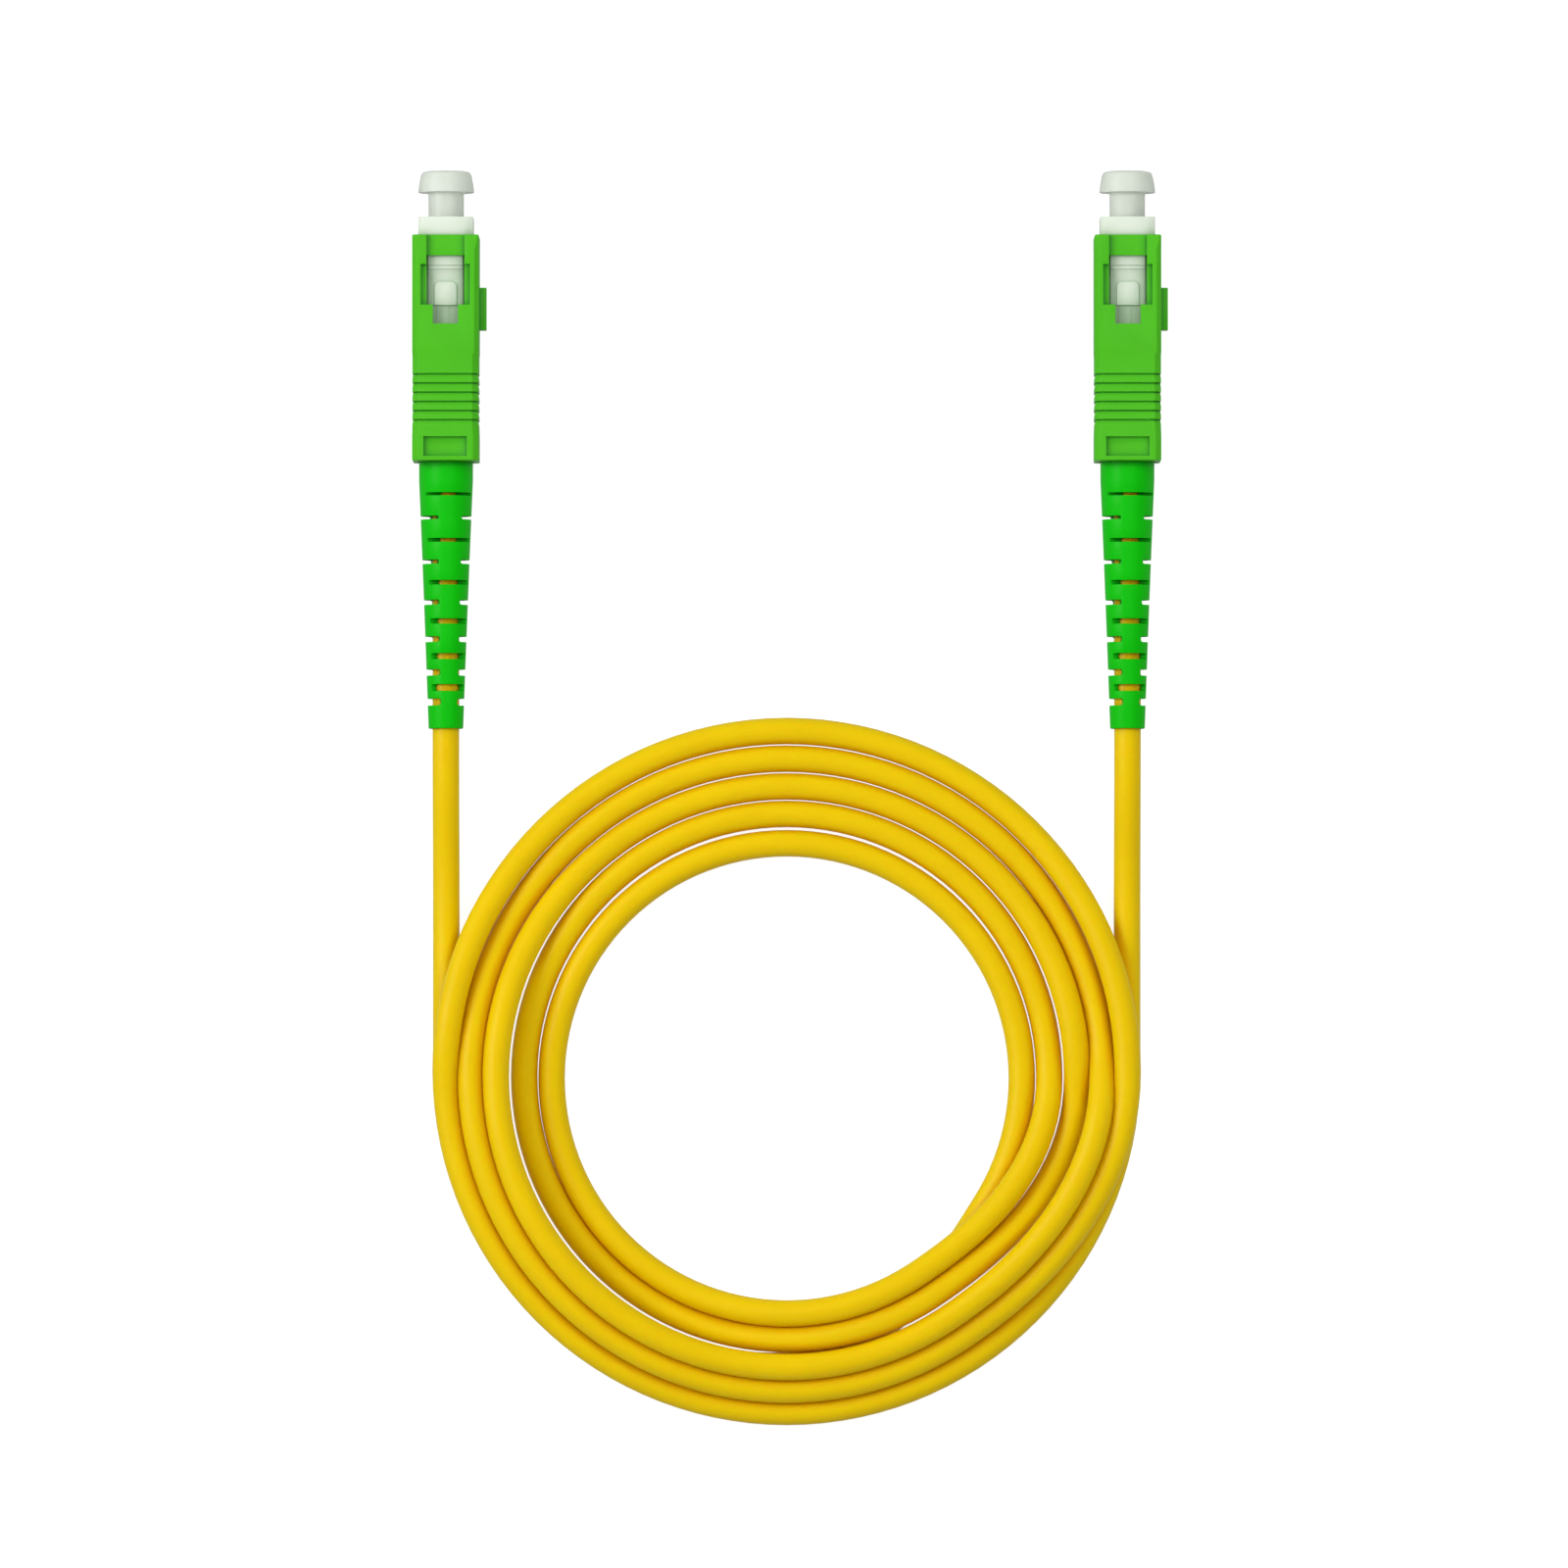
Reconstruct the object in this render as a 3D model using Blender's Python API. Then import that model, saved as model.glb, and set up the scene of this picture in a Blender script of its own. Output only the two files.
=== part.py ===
"""Fibre optic patch cord: two push-pull connectors with dust caps on one coiled 3 mm cord.

Metres, +Z up. The connectors lie on a table at z = 0 and point along +Y, side by side. The cord leaves
each boot towards -Y and lies in one flat coil. The origin is on the table, under the middle of the box
around the two connectors.
"""

import math

import bmesh
import bpy
import numpy as np
from mathutils import Euler, Matrix, Vector

MM = 0.001

# Places of the two connectors and the coil
CONNECTOR_PITCH = 75.8 * MM  # between the two ferrule axes
KEY_PROUD = 0.8 * MM  # of the polarising key, which makes the pair's box lean to +X
MIDDLE_X = -KEY_PROUD / 2
FRONT_Y = 23.75 * MM  # front edge of the grip housings
AXIS_Z = 4.5 * MM

# Grip housing, the outer shell that is pushed and pulled
GRIP_WIDTH = 7.4 * MM
GRIP_HEIGHT = 9.0 * MM
GRIP_LENGTH = 25.1 * MM
GRIP_CHAMFER = 0.5 * MM
CAVITY_WIDTH = 6.4 * MM
CAVITY_HEIGHT = 7.7 * MM
REAR_WALL = 1.7 * MM
REAR_BORE_R = 3.3 * MM
WINDOW_HALF = 2.1 * MM
WINDOW_START = 2.3 * MM
WINDOW_STEP = 7.8 * MM
WINDOW_END = 9.9 * MM
TAIL_HALF = 1.4 * MM
LEDGE_HALF = 2.8 * MM
LEDGE_START = 3.3 * MM
LEDGE_DEPTH = 0.3 * MM
KEY_START = 5.75 * MM
KEY_END = 10.45 * MM
KEY_HEIGHT = 2.2 * MM
GRIP_GROOVES = 6
GROOVE_PITCH = 1.02 * MM
GROOVE_WIDTH = 0.34 * MM
GROOVE_DEPTH = 0.2 * MM
FIRST_GROOVE = 15.5 * MM
SIDE_GROOVE_LAG = 0.4 * MM
LABEL_START = 22.5 * MM
LABEL_LENGTH = 2.1 * MM
LABEL_HALF = 2.4 * MM

# Plug frame, inside the grip housing
FRAME_WIDTH = 6.1 * MM
FRAME_HEIGHT = 7.4 * MM
FRAME_FRONT = 2.05 * MM  # proud of the grip housing
FRAME_REAR = -16.0 * MM
FRAME_CHAMFER = 0.45 * MM
FRAME_FRONT_BORE_R = 2.3 * MM
FRAME_REAR_BORE_R = 2.55 * MM
SHOULDER_FRONT = -5.4 * MM
SHOULDER_REAR = -6.2 * MM
SHOULDER_BORE_R = 1.6 * MM
TONGUE_HALF = 1.2 * MM
TONGUE_FRONT = -5.8 * MM
TONGUE_REAR = -9.6 * MM
TONGUE_PROUD = 0.4 * MM

# Ferrule group, which floats on its spring
FERRULE_R = 1.25 * MM
FERRULE_FRONT = 3.0 * MM
FERRULE_REAR = -7.4 * MM
FERRULE_END_ANGLE = math.radians(8)
FIBRE_HOLE_R = 0.2 * MM
FLANGE_R = 2.2 * MM
FLANGE_FRONT = -6.5 * MM
FLANGE_REAR = -8.5 * MM
FLANGE_TAIL_R = 1.2 * MM
FLANGE_TAIL_REAR = -11.4 * MM
FERRULE_POCKET_R = 1.35 * MM
FLOAT_TRAVEL = 1.0 * MM

# Spring round the flange's tail
SPRING_COIL_R = 1.75 * MM
SPRING_WIRE_R = 0.22 * MM
SPRING_FRONT = -8.75 * MM
SPRING_REAR = -13.1 * MM
SPRING_TURNS = 5
SPRING_STEPS = 12  # points in each turn

# Rear stop body, crimp sleeve and yarn
STOP_FRONT = -13.4 * MM
STOP_NOSE_R = 2.35 * MM
STOP_SHOULDER_FRONT = -16.2 * MM
STOP_SHOULDER_R = 2.9 * MM
STOP_SHOULDER_REAR = -17.4 * MM
STOP_NECK_R = 1.7 * MM
STOP_REAR = -24.0 * MM
STOP_BORE_R = 0.75 * MM
YARN_R = 1.95 * MM
YARN_BORE_R = 1.8 * MM
YARN_FRONT = -18.2 * MM
YARN_REAR = -27.2 * MM
CRIMP_R = 2.35 * MM
CRIMP_BORE_R = 2.05 * MM
CRIMP_FRONT = -18.0 * MM
CRIMP_REAR = -26.4 * MM

# Buffered fibre and the cut end of the jacket
BUFFER_R = 0.45 * MM
BUFFER_FRONT = -11.7 * MM
BUFFER_REAR = -26.0 * MM
JACKET_END = -27.5 * MM
CORD_R = 1.45 * MM

# Strain relief boot
BOOT_FRONT = -18.0 * MM
BOOT_COLLAR_REAR = -27.2 * MM
BOOT_REAR = -54.8 * MM
BOOT_COLLAR_R = 3.0 * MM
BOOT_END_R = 1.9 * MM
BOOT_CRIMP_BORE_R = 2.5 * MM
BOOT_CORD_BORE_R = 1.6 * MM
BOOT_TURN = math.radians(9.5)
BOOT_SLOT_PAIRS = 6
BOOT_FIRST_SLOT = -28.6 * MM
BOOT_LAST_SLOT = -51.8 * MM
BOOT_FIRST_SLOT_WIDTH = 0.3 * MM
BOOT_SLOT_WIDTH = 0.6 * MM
BOOT_WEB_SHARE = 0.45  # half thickness of the web between two slots, as a share of the radius there

# Dust cap
CAP_FRONT = 7.3 * MM
CAP_HEAD_REAR = 4.85 * MM
CAP_TOP_R = 2.75 * MM
CAP_RIM_R = 3.1 * MM
CAP_STEM_R = 1.98 * MM
CAP_STEM_REAR = -1.6 * MM
CAP_BORE_R = 1.4 * MM
CAP_BORE_FRONT = 4.2 * MM
CAP_EDGE = 0.4 * MM

# Cord
COIL_X = MIDDLE_X
COIL_Y = -69.1 * MM
COIL_OUTER_R = 39.4 * MM
COIL_INNER_R = 24.0 * MM
COIL_HEIGHT = 5.85 * MM
COIL_EDGE = 1.0 * MM
LEAD_GAP = 0.3 * MM
# Down one lead, from the boot to the coil: how far below the boot's end, and the height of its middle
LEAD_POINTS = ((0.3, 4.5), (3.0, 4.46), (8.0, 3.8), (14.0, 2.2), (18.5, 1.55), (22.3, 1.48))
LEAD_STEPS = 12

ROUND = 28  # sides of a turned piece
SMALL_ROUND = 16
COIL_SIDES = 48


# ---------------------------------------------------------------- materials and helpers


def finish(name, colour, roughness=0.45, metallic=0.0):
    material = bpy.data.materials.new(name)
    material.use_nodes = True
    shader = material.node_tree.nodes["Principled BSDF"]
    shader.inputs["Base Color"].default_value = (*colour, 1.0)
    shader.inputs["Roughness"].default_value = roughness
    shader.inputs["Metallic"].default_value = metallic
    return material


def make_materials():
    return {
        "grip": finish("green_grip_plastic", (0.08, 0.5, 0.015), 0.4),
        "frame": finish("off_white_plastic", (0.72, 0.78, 0.68), 0.4),
        "boot": finish("green_boot_rubber", (0.0, 0.52, 0.0), 0.5),
        "cap": finish("clear_cap_plastic", (0.65, 0.72, 0.65), 0.35),
        "zirconia": finish("white_zirconia", (0.85, 0.85, 0.83), 0.15),
        "steel": finish("spring_steel", (0.55, 0.55, 0.56), 0.3, 1.0),
        "brass": finish("nickelled_brass", (0.66, 0.62, 0.52), 0.3, 1.0),
        "crimp": finish("aluminium_crimp", (0.75, 0.76, 0.78), 0.35, 1.0),
        "yarn": finish("aramid_yarn", (0.8, 0.62, 0.12), 0.8),
        "buffer": finish("white_buffer", (0.85, 0.85, 0.82), 0.4),
        "jacket": finish("yellow_jacket", (0.82, 0.56, 0.0), 0.45),
    }


def add_object(name, mesh, material):
    obj = bpy.data.objects.new(name, mesh)
    bpy.context.scene.collection.objects.link(obj)
    if material:
        mesh.materials.append(material)
    return obj


def add_mesh(name, made, material, smooth=True):
    """Turn a bmesh into a mesh object, with its faces outwards."""
    bmesh.ops.remove_doubles(made, verts=made.verts, dist=1e-7)
    bmesh.ops.recalc_face_normals(made, faces=made.faces)
    mesh = bpy.data.meshes.new(name)
    made.to_mesh(mesh)
    made.free()
    if smooth:
        mesh.shade_smooth()
        mesh.set_sharp_from_angle(angle=math.radians(30))
    return add_object(name, mesh, material)


def turned(name, outline, material, sides=ROUND):
    """Turn a closed outline of (y, radius) points about the Y axis."""
    made = bmesh.new()
    rings = []
    for step in range(sides):
        angle = 2 * math.pi * step / sides
        across, up = math.cos(angle), math.sin(angle)
        rings.append([made.verts.new((r * across, y, r * up)) for y, r in outline])
    for step in range(sides):
        here, after = rings[step], rings[(step + 1) % sides]
        for i in range(len(outline)):
            j = (i + 1) % len(outline)
            made.faces.new((here[i], here[j], after[j], after[i]))
    bmesh.ops.remove_doubles(made, verts=made.verts, dist=1e-7)
    bmesh.ops.dissolve_degenerate(made, dist=1e-7, edges=made.edges)
    return add_mesh(name, made, material)


def box_into(made, low, high):
    """Add one box to a bmesh, from its lowest to its highest corner."""
    size = Vector(high) - Vector(low)
    middle = (Vector(high) + Vector(low)) / 2
    place = Matrix.Translation(middle) @ Matrix.Diagonal((*size, 1.0))
    return bmesh.ops.create_cube(made, size=1.0, matrix=place)["verts"]


def chamfered_bar(made, width, height, rear, front, chamfer):
    """Add a bar along Y whose four long edges are cut off at 45 degrees."""
    half_w, half_h = width / 2, height / 2
    corners = []
    for sx, sz in ((1, 1), (-1, 1), (-1, -1), (1, -1)):
        along = [(half_w - chamfer, half_h), (half_w, half_h - chamfer)]
        if sx * sz > 0:
            along.reverse()
        corners += [(sx * x, sz * z) for x, z in along]
    ends = [[made.verts.new((x, y, z)) for x, z in corners] for y in (rear, front)]
    made.faces.new(ends[0])
    made.faces.new(ends[1][::-1])
    for i in range(len(corners)):
        j = (i + 1) % len(corners)
        made.faces.new((ends[0][i], ends[1][i], ends[1][j], ends[0][j]))


def cutter(name, made):
    obj = add_mesh(name, made, None, smooth=False)
    obj.hide_render = True
    obj.display_type = "WIRE"
    return obj


def round_cutter(name, outline, sides=ROUND):
    obj = turned(name, outline, None, sides)
    obj.hide_render = True
    obj.display_type = "WIRE"
    return obj


def boolean(obj, other, operation="DIFFERENCE"):
    modifier = obj.modifiers.new(other.name, "BOOLEAN")
    modifier.operation = operation
    modifier.solver = "EXACT"
    modifier.object = other
    return modifier


def tube(rear, front, bore, radius):
    """Outline of a plain tube."""
    return ((rear, bore), (rear, radius), (front, radius), (front, bore))


# ---------------------------------------------------------------- pieces of one connector


def grip_housing(side, materials):
    made = bmesh.new()
    chamfered_bar(made, GRIP_WIDTH, GRIP_HEIGHT, -GRIP_LENGTH, 0.0, GRIP_CHAMFER)
    body = add_mesh(f"{side}_grip_housing", made, materials["grip"], smooth=False)

    key = bmesh.new()
    box_into(
        key,
        (GRIP_WIDTH / 2 - 0.3 * MM, -KEY_END, -KEY_HEIGHT / 2),
        (GRIP_WIDTH / 2 + KEY_PROUD, -KEY_START, KEY_HEIGHT / 2),
    )
    boolean(body, cutter(f"{side}_key_shape", key), "UNION")

    half_w, half_h = GRIP_WIDTH / 2, GRIP_HEIGHT / 2
    past = 1.0 * MM  # how far a cutter runs out past a face
    cavity = bmesh.new()
    box_into(
        cavity,
        (-CAVITY_WIDTH / 2, -GRIP_LENGTH + REAR_WALL, -CAVITY_HEIGHT / 2),
        (CAVITY_WIDTH / 2, past, CAVITY_HEIGHT / 2),
    )
    boolean(body, cutter(f"{side}_grip_cavity", cavity))
    bore_rear, bore_front = -GRIP_LENGTH - past, -GRIP_LENGTH + REAR_WALL + past
    bore = ((bore_rear, 0.0), (bore_rear, REAR_BORE_R), (bore_front, REAR_BORE_R), (bore_front, 0.0))
    boolean(body, round_cutter(f"{side}_grip_bore", bore))

    windows = bmesh.new()
    box_into(windows, (-WINDOW_HALF, -WINDOW_STEP, -half_h - past), (WINDOW_HALF, -WINDOW_START, half_h + past))
    boolean(body, cutter(f"{side}_window_wide", windows))
    tails = bmesh.new()
    box_into(tails, (-TAIL_HALF, -WINDOW_END, -half_h - past), (TAIL_HALF, -WINDOW_STEP + 0.1 * MM, half_h + past))
    boolean(body, cutter(f"{side}_window_tail", tails))

    for name, sign in (("top", 1), ("bottom", -1)):
        marks = bmesh.new()
        outer = sign * (half_h + past)
        ledge = sign * (half_h - LEDGE_DEPTH)
        low, high = min(ledge, outer), max(ledge, outer)
        box_into(marks, (-LEDGE_HALF, -WINDOW_STEP, low), (LEDGE_HALF, -LEDGE_START, high))
        box_into(marks, (-WINDOW_HALF, -WINDOW_START + 0.1 * MM, low), (WINDOW_HALF, past, high))
        floor = sign * (half_h - GROOVE_DEPTH)
        low, high = min(floor, outer), max(floor, outer)
        for i in range(GRIP_GROOVES):
            y = -FIRST_GROOVE - i * GROOVE_PITCH
            low_corner = (-half_w + 0.6 * MM, y - GROOVE_WIDTH / 2, low)
            box_into(marks, low_corner, (half_w - 0.6 * MM, y + GROOVE_WIDTH / 2, high))
        box_into(marks, (-LABEL_HALF, -LABEL_START - LABEL_LENGTH, low), (LABEL_HALF, -LABEL_START, high))
        boolean(body, cutter(f"{side}_grip_marks_{name}", marks))
    notches = bmesh.new()
    for sign in (1, -1):
        inner = sign * (half_w - GROOVE_DEPTH)
        outer = sign * (half_w + past)
        for i in range(GRIP_GROOVES):
            y = -FIRST_GROOVE - SIDE_GROOVE_LAG - i * GROOVE_PITCH
            box_into(
                notches,
                (min(inner, outer), y - GROOVE_WIDTH / 2, -half_h + 1.2 * MM),
                (max(inner, outer), y + GROOVE_WIDTH / 2, half_h - 1.2 * MM),
            )
    boolean(body, cutter(f"{side}_grip_notches", notches))
    return body


def plug_frame(side, materials):
    made = bmesh.new()
    chamfered_bar(made, FRAME_WIDTH, FRAME_HEIGHT, FRAME_REAR, FRAME_FRONT, FRAME_CHAMFER)
    body = add_mesh(f"{side}_plug_frame", made, materials["frame"], smooth=False)
    half_h = FRAME_HEIGHT / 2
    for name, sign in (("top", 1), ("bottom", -1)):
        tongue = bmesh.new()
        inner, outer = sign * (half_h - 0.3 * MM), sign * (half_h + TONGUE_PROUD)
        box_into(
            tongue,
            (-TONGUE_HALF, TONGUE_REAR, min(inner, outer)),
            (TONGUE_HALF, TONGUE_FRONT, max(inner, outer)),
        )
        boolean(body, cutter(f"{side}_tongue_{name}", tongue), "UNION")
    past = 1.0 * MM
    bore = (
        (FRAME_REAR - past, 0.0),
        (FRAME_REAR - past, FRAME_REAR_BORE_R),
        (SHOULDER_REAR, FRAME_REAR_BORE_R),
        (SHOULDER_REAR, SHOULDER_BORE_R),
        (SHOULDER_FRONT, SHOULDER_BORE_R),
        (SHOULDER_FRONT, FRAME_FRONT_BORE_R),
        (FRAME_FRONT + past, FRAME_FRONT_BORE_R),
        (FRAME_FRONT + past, 0.0),
    )
    boolean(body, round_cutter(f"{side}_frame_bore", bore))
    return body


def ferrule(side, materials):
    """A 2.5 mm ceramic pin whose front end is polished at an angle."""
    outline = tube(FERRULE_REAR, FERRULE_FRONT, FIBRE_HOLE_R, FERRULE_R)
    body = turned(f"{side}_ferrule", outline, materials["zirconia"], SMALL_ROUND)
    for vertex in body.data.vertices:
        if vertex.co.y > 0:
            vertex.co.y -= (FERRULE_R + vertex.co.x) * math.tan(FERRULE_END_ANGLE)
    return body


def ferrule_flange(side, materials):
    outline = (
        (FLANGE_TAIL_REAR, BUFFER_R + 0.15 * MM),
        (FLANGE_TAIL_REAR, FLANGE_TAIL_R),
        (FLANGE_REAR, FLANGE_TAIL_R),
        (FLANGE_REAR, FLANGE_R),
        (FLANGE_FRONT, FLANGE_R),
        (FLANGE_FRONT, FERRULE_POCKET_R),
        (FERRULE_REAR - 0.2 * MM, FERRULE_POCKET_R),
        (FERRULE_REAR - 0.2 * MM, BUFFER_R + 0.15 * MM),
    )
    return turned(f"{side}_ferrule_flange", outline, materials["brass"], SMALL_ROUND)


def wire_curve(name, points, radius, material, bevel_resolution=2):
    curve = bpy.data.curves.new(name, "CURVE")
    curve.dimensions = "3D"
    curve.bevel_depth = radius
    curve.bevel_resolution = bevel_resolution
    curve.use_fill_caps = True
    spline = curve.splines.new("POLY")
    spline.points.add(len(points) - 1)
    for point, place in zip(spline.points, points):
        point.co = (*place, 1.0)
    return add_object(name, curve, material)


def ferrule_spring(side, materials):
    """A compression spring whose end turns lie flat."""
    points = []
    count = SPRING_TURNS * SPRING_STEPS
    length = SPRING_FRONT - SPRING_REAR - 2 * SPRING_WIRE_R
    for i in range(count + 1):
        share = i / count
        flat = 1.0 / SPRING_TURNS  # share of the wire in one end turn
        rise = (share - flat) / (1 - 2 * flat)
        climb = min(max(rise, 0.0), 1.0)
        end_turn = 2.1 * SPRING_WIRE_R / length  # an end turn still climbs by its own wire
        before = min(share / flat, 1.0) * end_turn
        after = max((share - 1 + flat) / flat, 0.0) * end_turn
        y = SPRING_REAR + SPRING_WIRE_R + length * (before + after + climb * (1 - 2 * end_turn))
        angle = 2 * math.pi * SPRING_TURNS * share
        points.append((SPRING_COIL_R * math.cos(angle), y, SPRING_COIL_R * math.sin(angle)))
    return wire_curve(f"{side}_ferrule_spring", points, SPRING_WIRE_R, materials["steel"], 1)


def stop_body(side, materials):
    outline = (
        (STOP_REAR, STOP_BORE_R),
        (STOP_REAR, STOP_NECK_R),
        (STOP_SHOULDER_REAR, STOP_NECK_R),
        (STOP_SHOULDER_REAR, STOP_SHOULDER_R),
        (STOP_SHOULDER_FRONT, STOP_SHOULDER_R),
        (STOP_SHOULDER_FRONT, STOP_NOSE_R),
        (STOP_FRONT, STOP_NOSE_R),
        (STOP_FRONT, STOP_BORE_R),
    )
    return turned(f"{side}_stop_body", outline, materials["brass"], SMALL_ROUND)


def crimp_sleeve(side, materials):
    outline = tube(CRIMP_REAR, CRIMP_FRONT, CRIMP_BORE_R, CRIMP_R)
    return turned(f"{side}_crimp_sleeve", outline, materials["crimp"], SMALL_ROUND)


def aramid_yarn(side, materials):
    outline = tube(YARN_REAR, YARN_FRONT, YARN_BORE_R, YARN_R)
    return turned(f"{side}_aramid_yarn", outline, materials["yarn"], SMALL_ROUND)


def buffered_fibre(side, materials):
    outline = ((BUFFER_REAR, 0.0), (BUFFER_REAR, BUFFER_R), (BUFFER_FRONT, BUFFER_R), (BUFFER_FRONT, 0.0))
    return turned(f"{side}_buffered_fibre", outline, materials["buffer"], 12)


def jacket_end(side, materials):
    """The stretch of the cord's jacket inside the boot."""
    outline = ((BOOT_REAR, 0.0), (BOOT_REAR, CORD_R), (JACKET_END, CORD_R), (JACKET_END, 0.0))
    return turned(f"{side}_cord_jacket_end", outline, materials["jacket"], SMALL_ROUND)


def boot_radius(y):
    """The boot's outer radius: a straight collar, then a taper that eases off towards the cord."""
    share = min(max((BOOT_COLLAR_REAR - y) / (BOOT_COLLAR_REAR - BOOT_REAR), 0.0), 1.0)
    return BOOT_COLLAR_R + (BOOT_END_R - BOOT_COLLAR_R) * (1.3 * share - 0.3 * share * share)


def boot(side, materials):
    outline = [(BOOT_FRONT, BOOT_CRIMP_BORE_R), (BOOT_FRONT, BOOT_COLLAR_R)]
    outline += [(y, boot_radius(y)) for y in np.linspace(BOOT_COLLAR_REAR, BOOT_REAR, 7)]
    outline += [
        (BOOT_REAR, BOOT_CORD_BORE_R),
        (BOOT_COLLAR_REAR - 0.3 * MM, BOOT_CORD_BORE_R),
        (BOOT_COLLAR_REAR - 0.3 * MM, BOOT_CRIMP_BORE_R),
    ]
    body = turned(f"{side}_boot", outline[::-1], materials["boot"])
    slots = bmesh.new()
    rows = 2 * BOOT_SLOT_PAIRS
    for row in range(rows):
        share = row / (rows - 1)
        y = BOOT_FIRST_SLOT + (BOOT_LAST_SLOT - BOOT_FIRST_SLOT) * (1.15 * share - 0.15 * share * share)
        width = BOOT_FIRST_SLOT_WIDTH if row < 2 else BOOT_SLOT_WIDTH
        web = BOOT_WEB_SHARE * boot_radius(y)
        reach = BOOT_COLLAR_R + 1.0 * MM
        for sign in (1, -1):
            near, far = sorted((sign * web, sign * reach))
            verts = box_into(slots, (-reach, y - width / 2, near), (reach, y + width / 2, far))
            turn = BOOT_TURN + (math.pi / 2 if row % 2 else 0.0)
            bmesh.ops.rotate(slots, verts=verts, cent=(0, 0, 0), matrix=Matrix.Rotation(turn, 3, "Y"))
    boolean(body, cutter(f"{side}_boot_slots", slots))
    return body


def dust_cap(side, materials):
    outline = (
        (CAP_STEM_REAR, CAP_BORE_R),
        (CAP_STEM_REAR, CAP_STEM_R),
        (CAP_HEAD_REAR, CAP_STEM_R),
        (CAP_HEAD_REAR, CAP_RIM_R),
        (CAP_HEAD_REAR + 0.25 * MM, CAP_RIM_R),
        (CAP_FRONT - CAP_EDGE, CAP_TOP_R),
        (CAP_FRONT, CAP_TOP_R - CAP_EDGE),
        (CAP_FRONT, 0.0),
        (CAP_BORE_FRONT, 0.0),
        (CAP_BORE_FRONT, CAP_BORE_R),
    )
    return turned(f"{side}_dust_cap", outline, materials["cap"])


PIECES = (
    dust_cap,
    grip_housing,
    plug_frame,
    ferrule,
    ferrule_flange,
    ferrule_spring,
    stop_body,
    crimp_sleeve,
    aramid_yarn,
    buffered_fibre,
    jacket_end,
    boot,
)


def connector(side, x, materials):
    """One connector: its pieces hang from an empty on the ferrule's axis, at the housing's front edge."""
    mount = bpy.data.objects.new(f"{side}_connector", None)
    mount.location = (x, FRONT_Y, AXIS_Z)
    bpy.context.scene.collection.objects.link(mount)
    for piece in PIECES:
        body = piece(side, materials)
        body.parent = mount
        for modifier in body.modifiers:
            if modifier.type == "BOOLEAN":
                modifier.object.parent = mount


# ---------------------------------------------------------------- cord


def smooth_route(points, count):
    """Points spaced along a Catmull-Rom curve through the given ones."""
    places = [Vector(p) for p in points]
    places = [places[0] * 2 - places[1], *places, places[-1] * 2 - places[-2]]
    fine = []
    for i in range(1, len(places) - 2):
        before, here, after, beyond = places[i - 1 : i + 3]
        for step in range(20):
            t = step / 20
            fine.append(
                0.5
                * (
                    2 * here
                    + (after - before) * t
                    + (2 * before - 5 * here + 4 * after - beyond) * t**2
                    + (3 * here - before - 3 * after + beyond) * t**3
                )
            )
    fine.append(places[-2])
    travelled = [0.0]
    for a, b in zip(fine, fine[1:]):
        travelled.append(travelled[-1] + (b - a).length)
    wanted = np.linspace(0, travelled[-1], count)
    axes = np.array([tuple(p) for p in fine])
    return [tuple(np.interp(s, travelled, axes[:, k]) for k in range(3)) for s in wanted]


def lead(side, x, materials):
    """The straight stretch of cord from a boot down to the coil."""
    start = FRONT_Y + BOOT_REAR
    route = [(x, start - down * MM, height * MM) for down, height in LEAD_POINTS]
    return wire_curve(f"{side}_lead", smooth_route(route, LEAD_STEPS), CORD_R, materials["jacket"])


def coil(materials):
    """The space that the coil's turns fill, as one turned ring lying on the table."""
    edge = COIL_EDGE
    outline = (
        (0.0, COIL_INNER_R),
        (0.0, COIL_OUTER_R),
        (COIL_HEIGHT - edge, COIL_OUTER_R),
        (COIL_HEIGHT, COIL_OUTER_R - edge),
        (COIL_HEIGHT, COIL_INNER_R + edge),
        (COIL_HEIGHT - edge, COIL_INNER_R),
    )
    ring = turned("coil", outline, materials["jacket"], COIL_SIDES)
    ring.rotation_euler = Euler((math.radians(90), 0, 0))
    ring.location = (COIL_X, COIL_Y, 0.0)
    return ring


def main():
    for obj in list(bpy.data.objects):
        bpy.data.objects.remove(obj, do_unlink=True)
    materials = make_materials()
    left_x = MIDDLE_X - CONNECTOR_PITCH / 2
    right_x = MIDDLE_X + CONNECTOR_PITCH / 2
    connector("left", left_x, materials)
    connector("right", right_x, materials)
    lead("left", left_x, materials)
    lead("right", right_x, materials)
    coil(materials)


main()
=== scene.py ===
import math

import bmesh
import bpy
import numpy as np
from mathutils import Matrix, Vector


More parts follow.
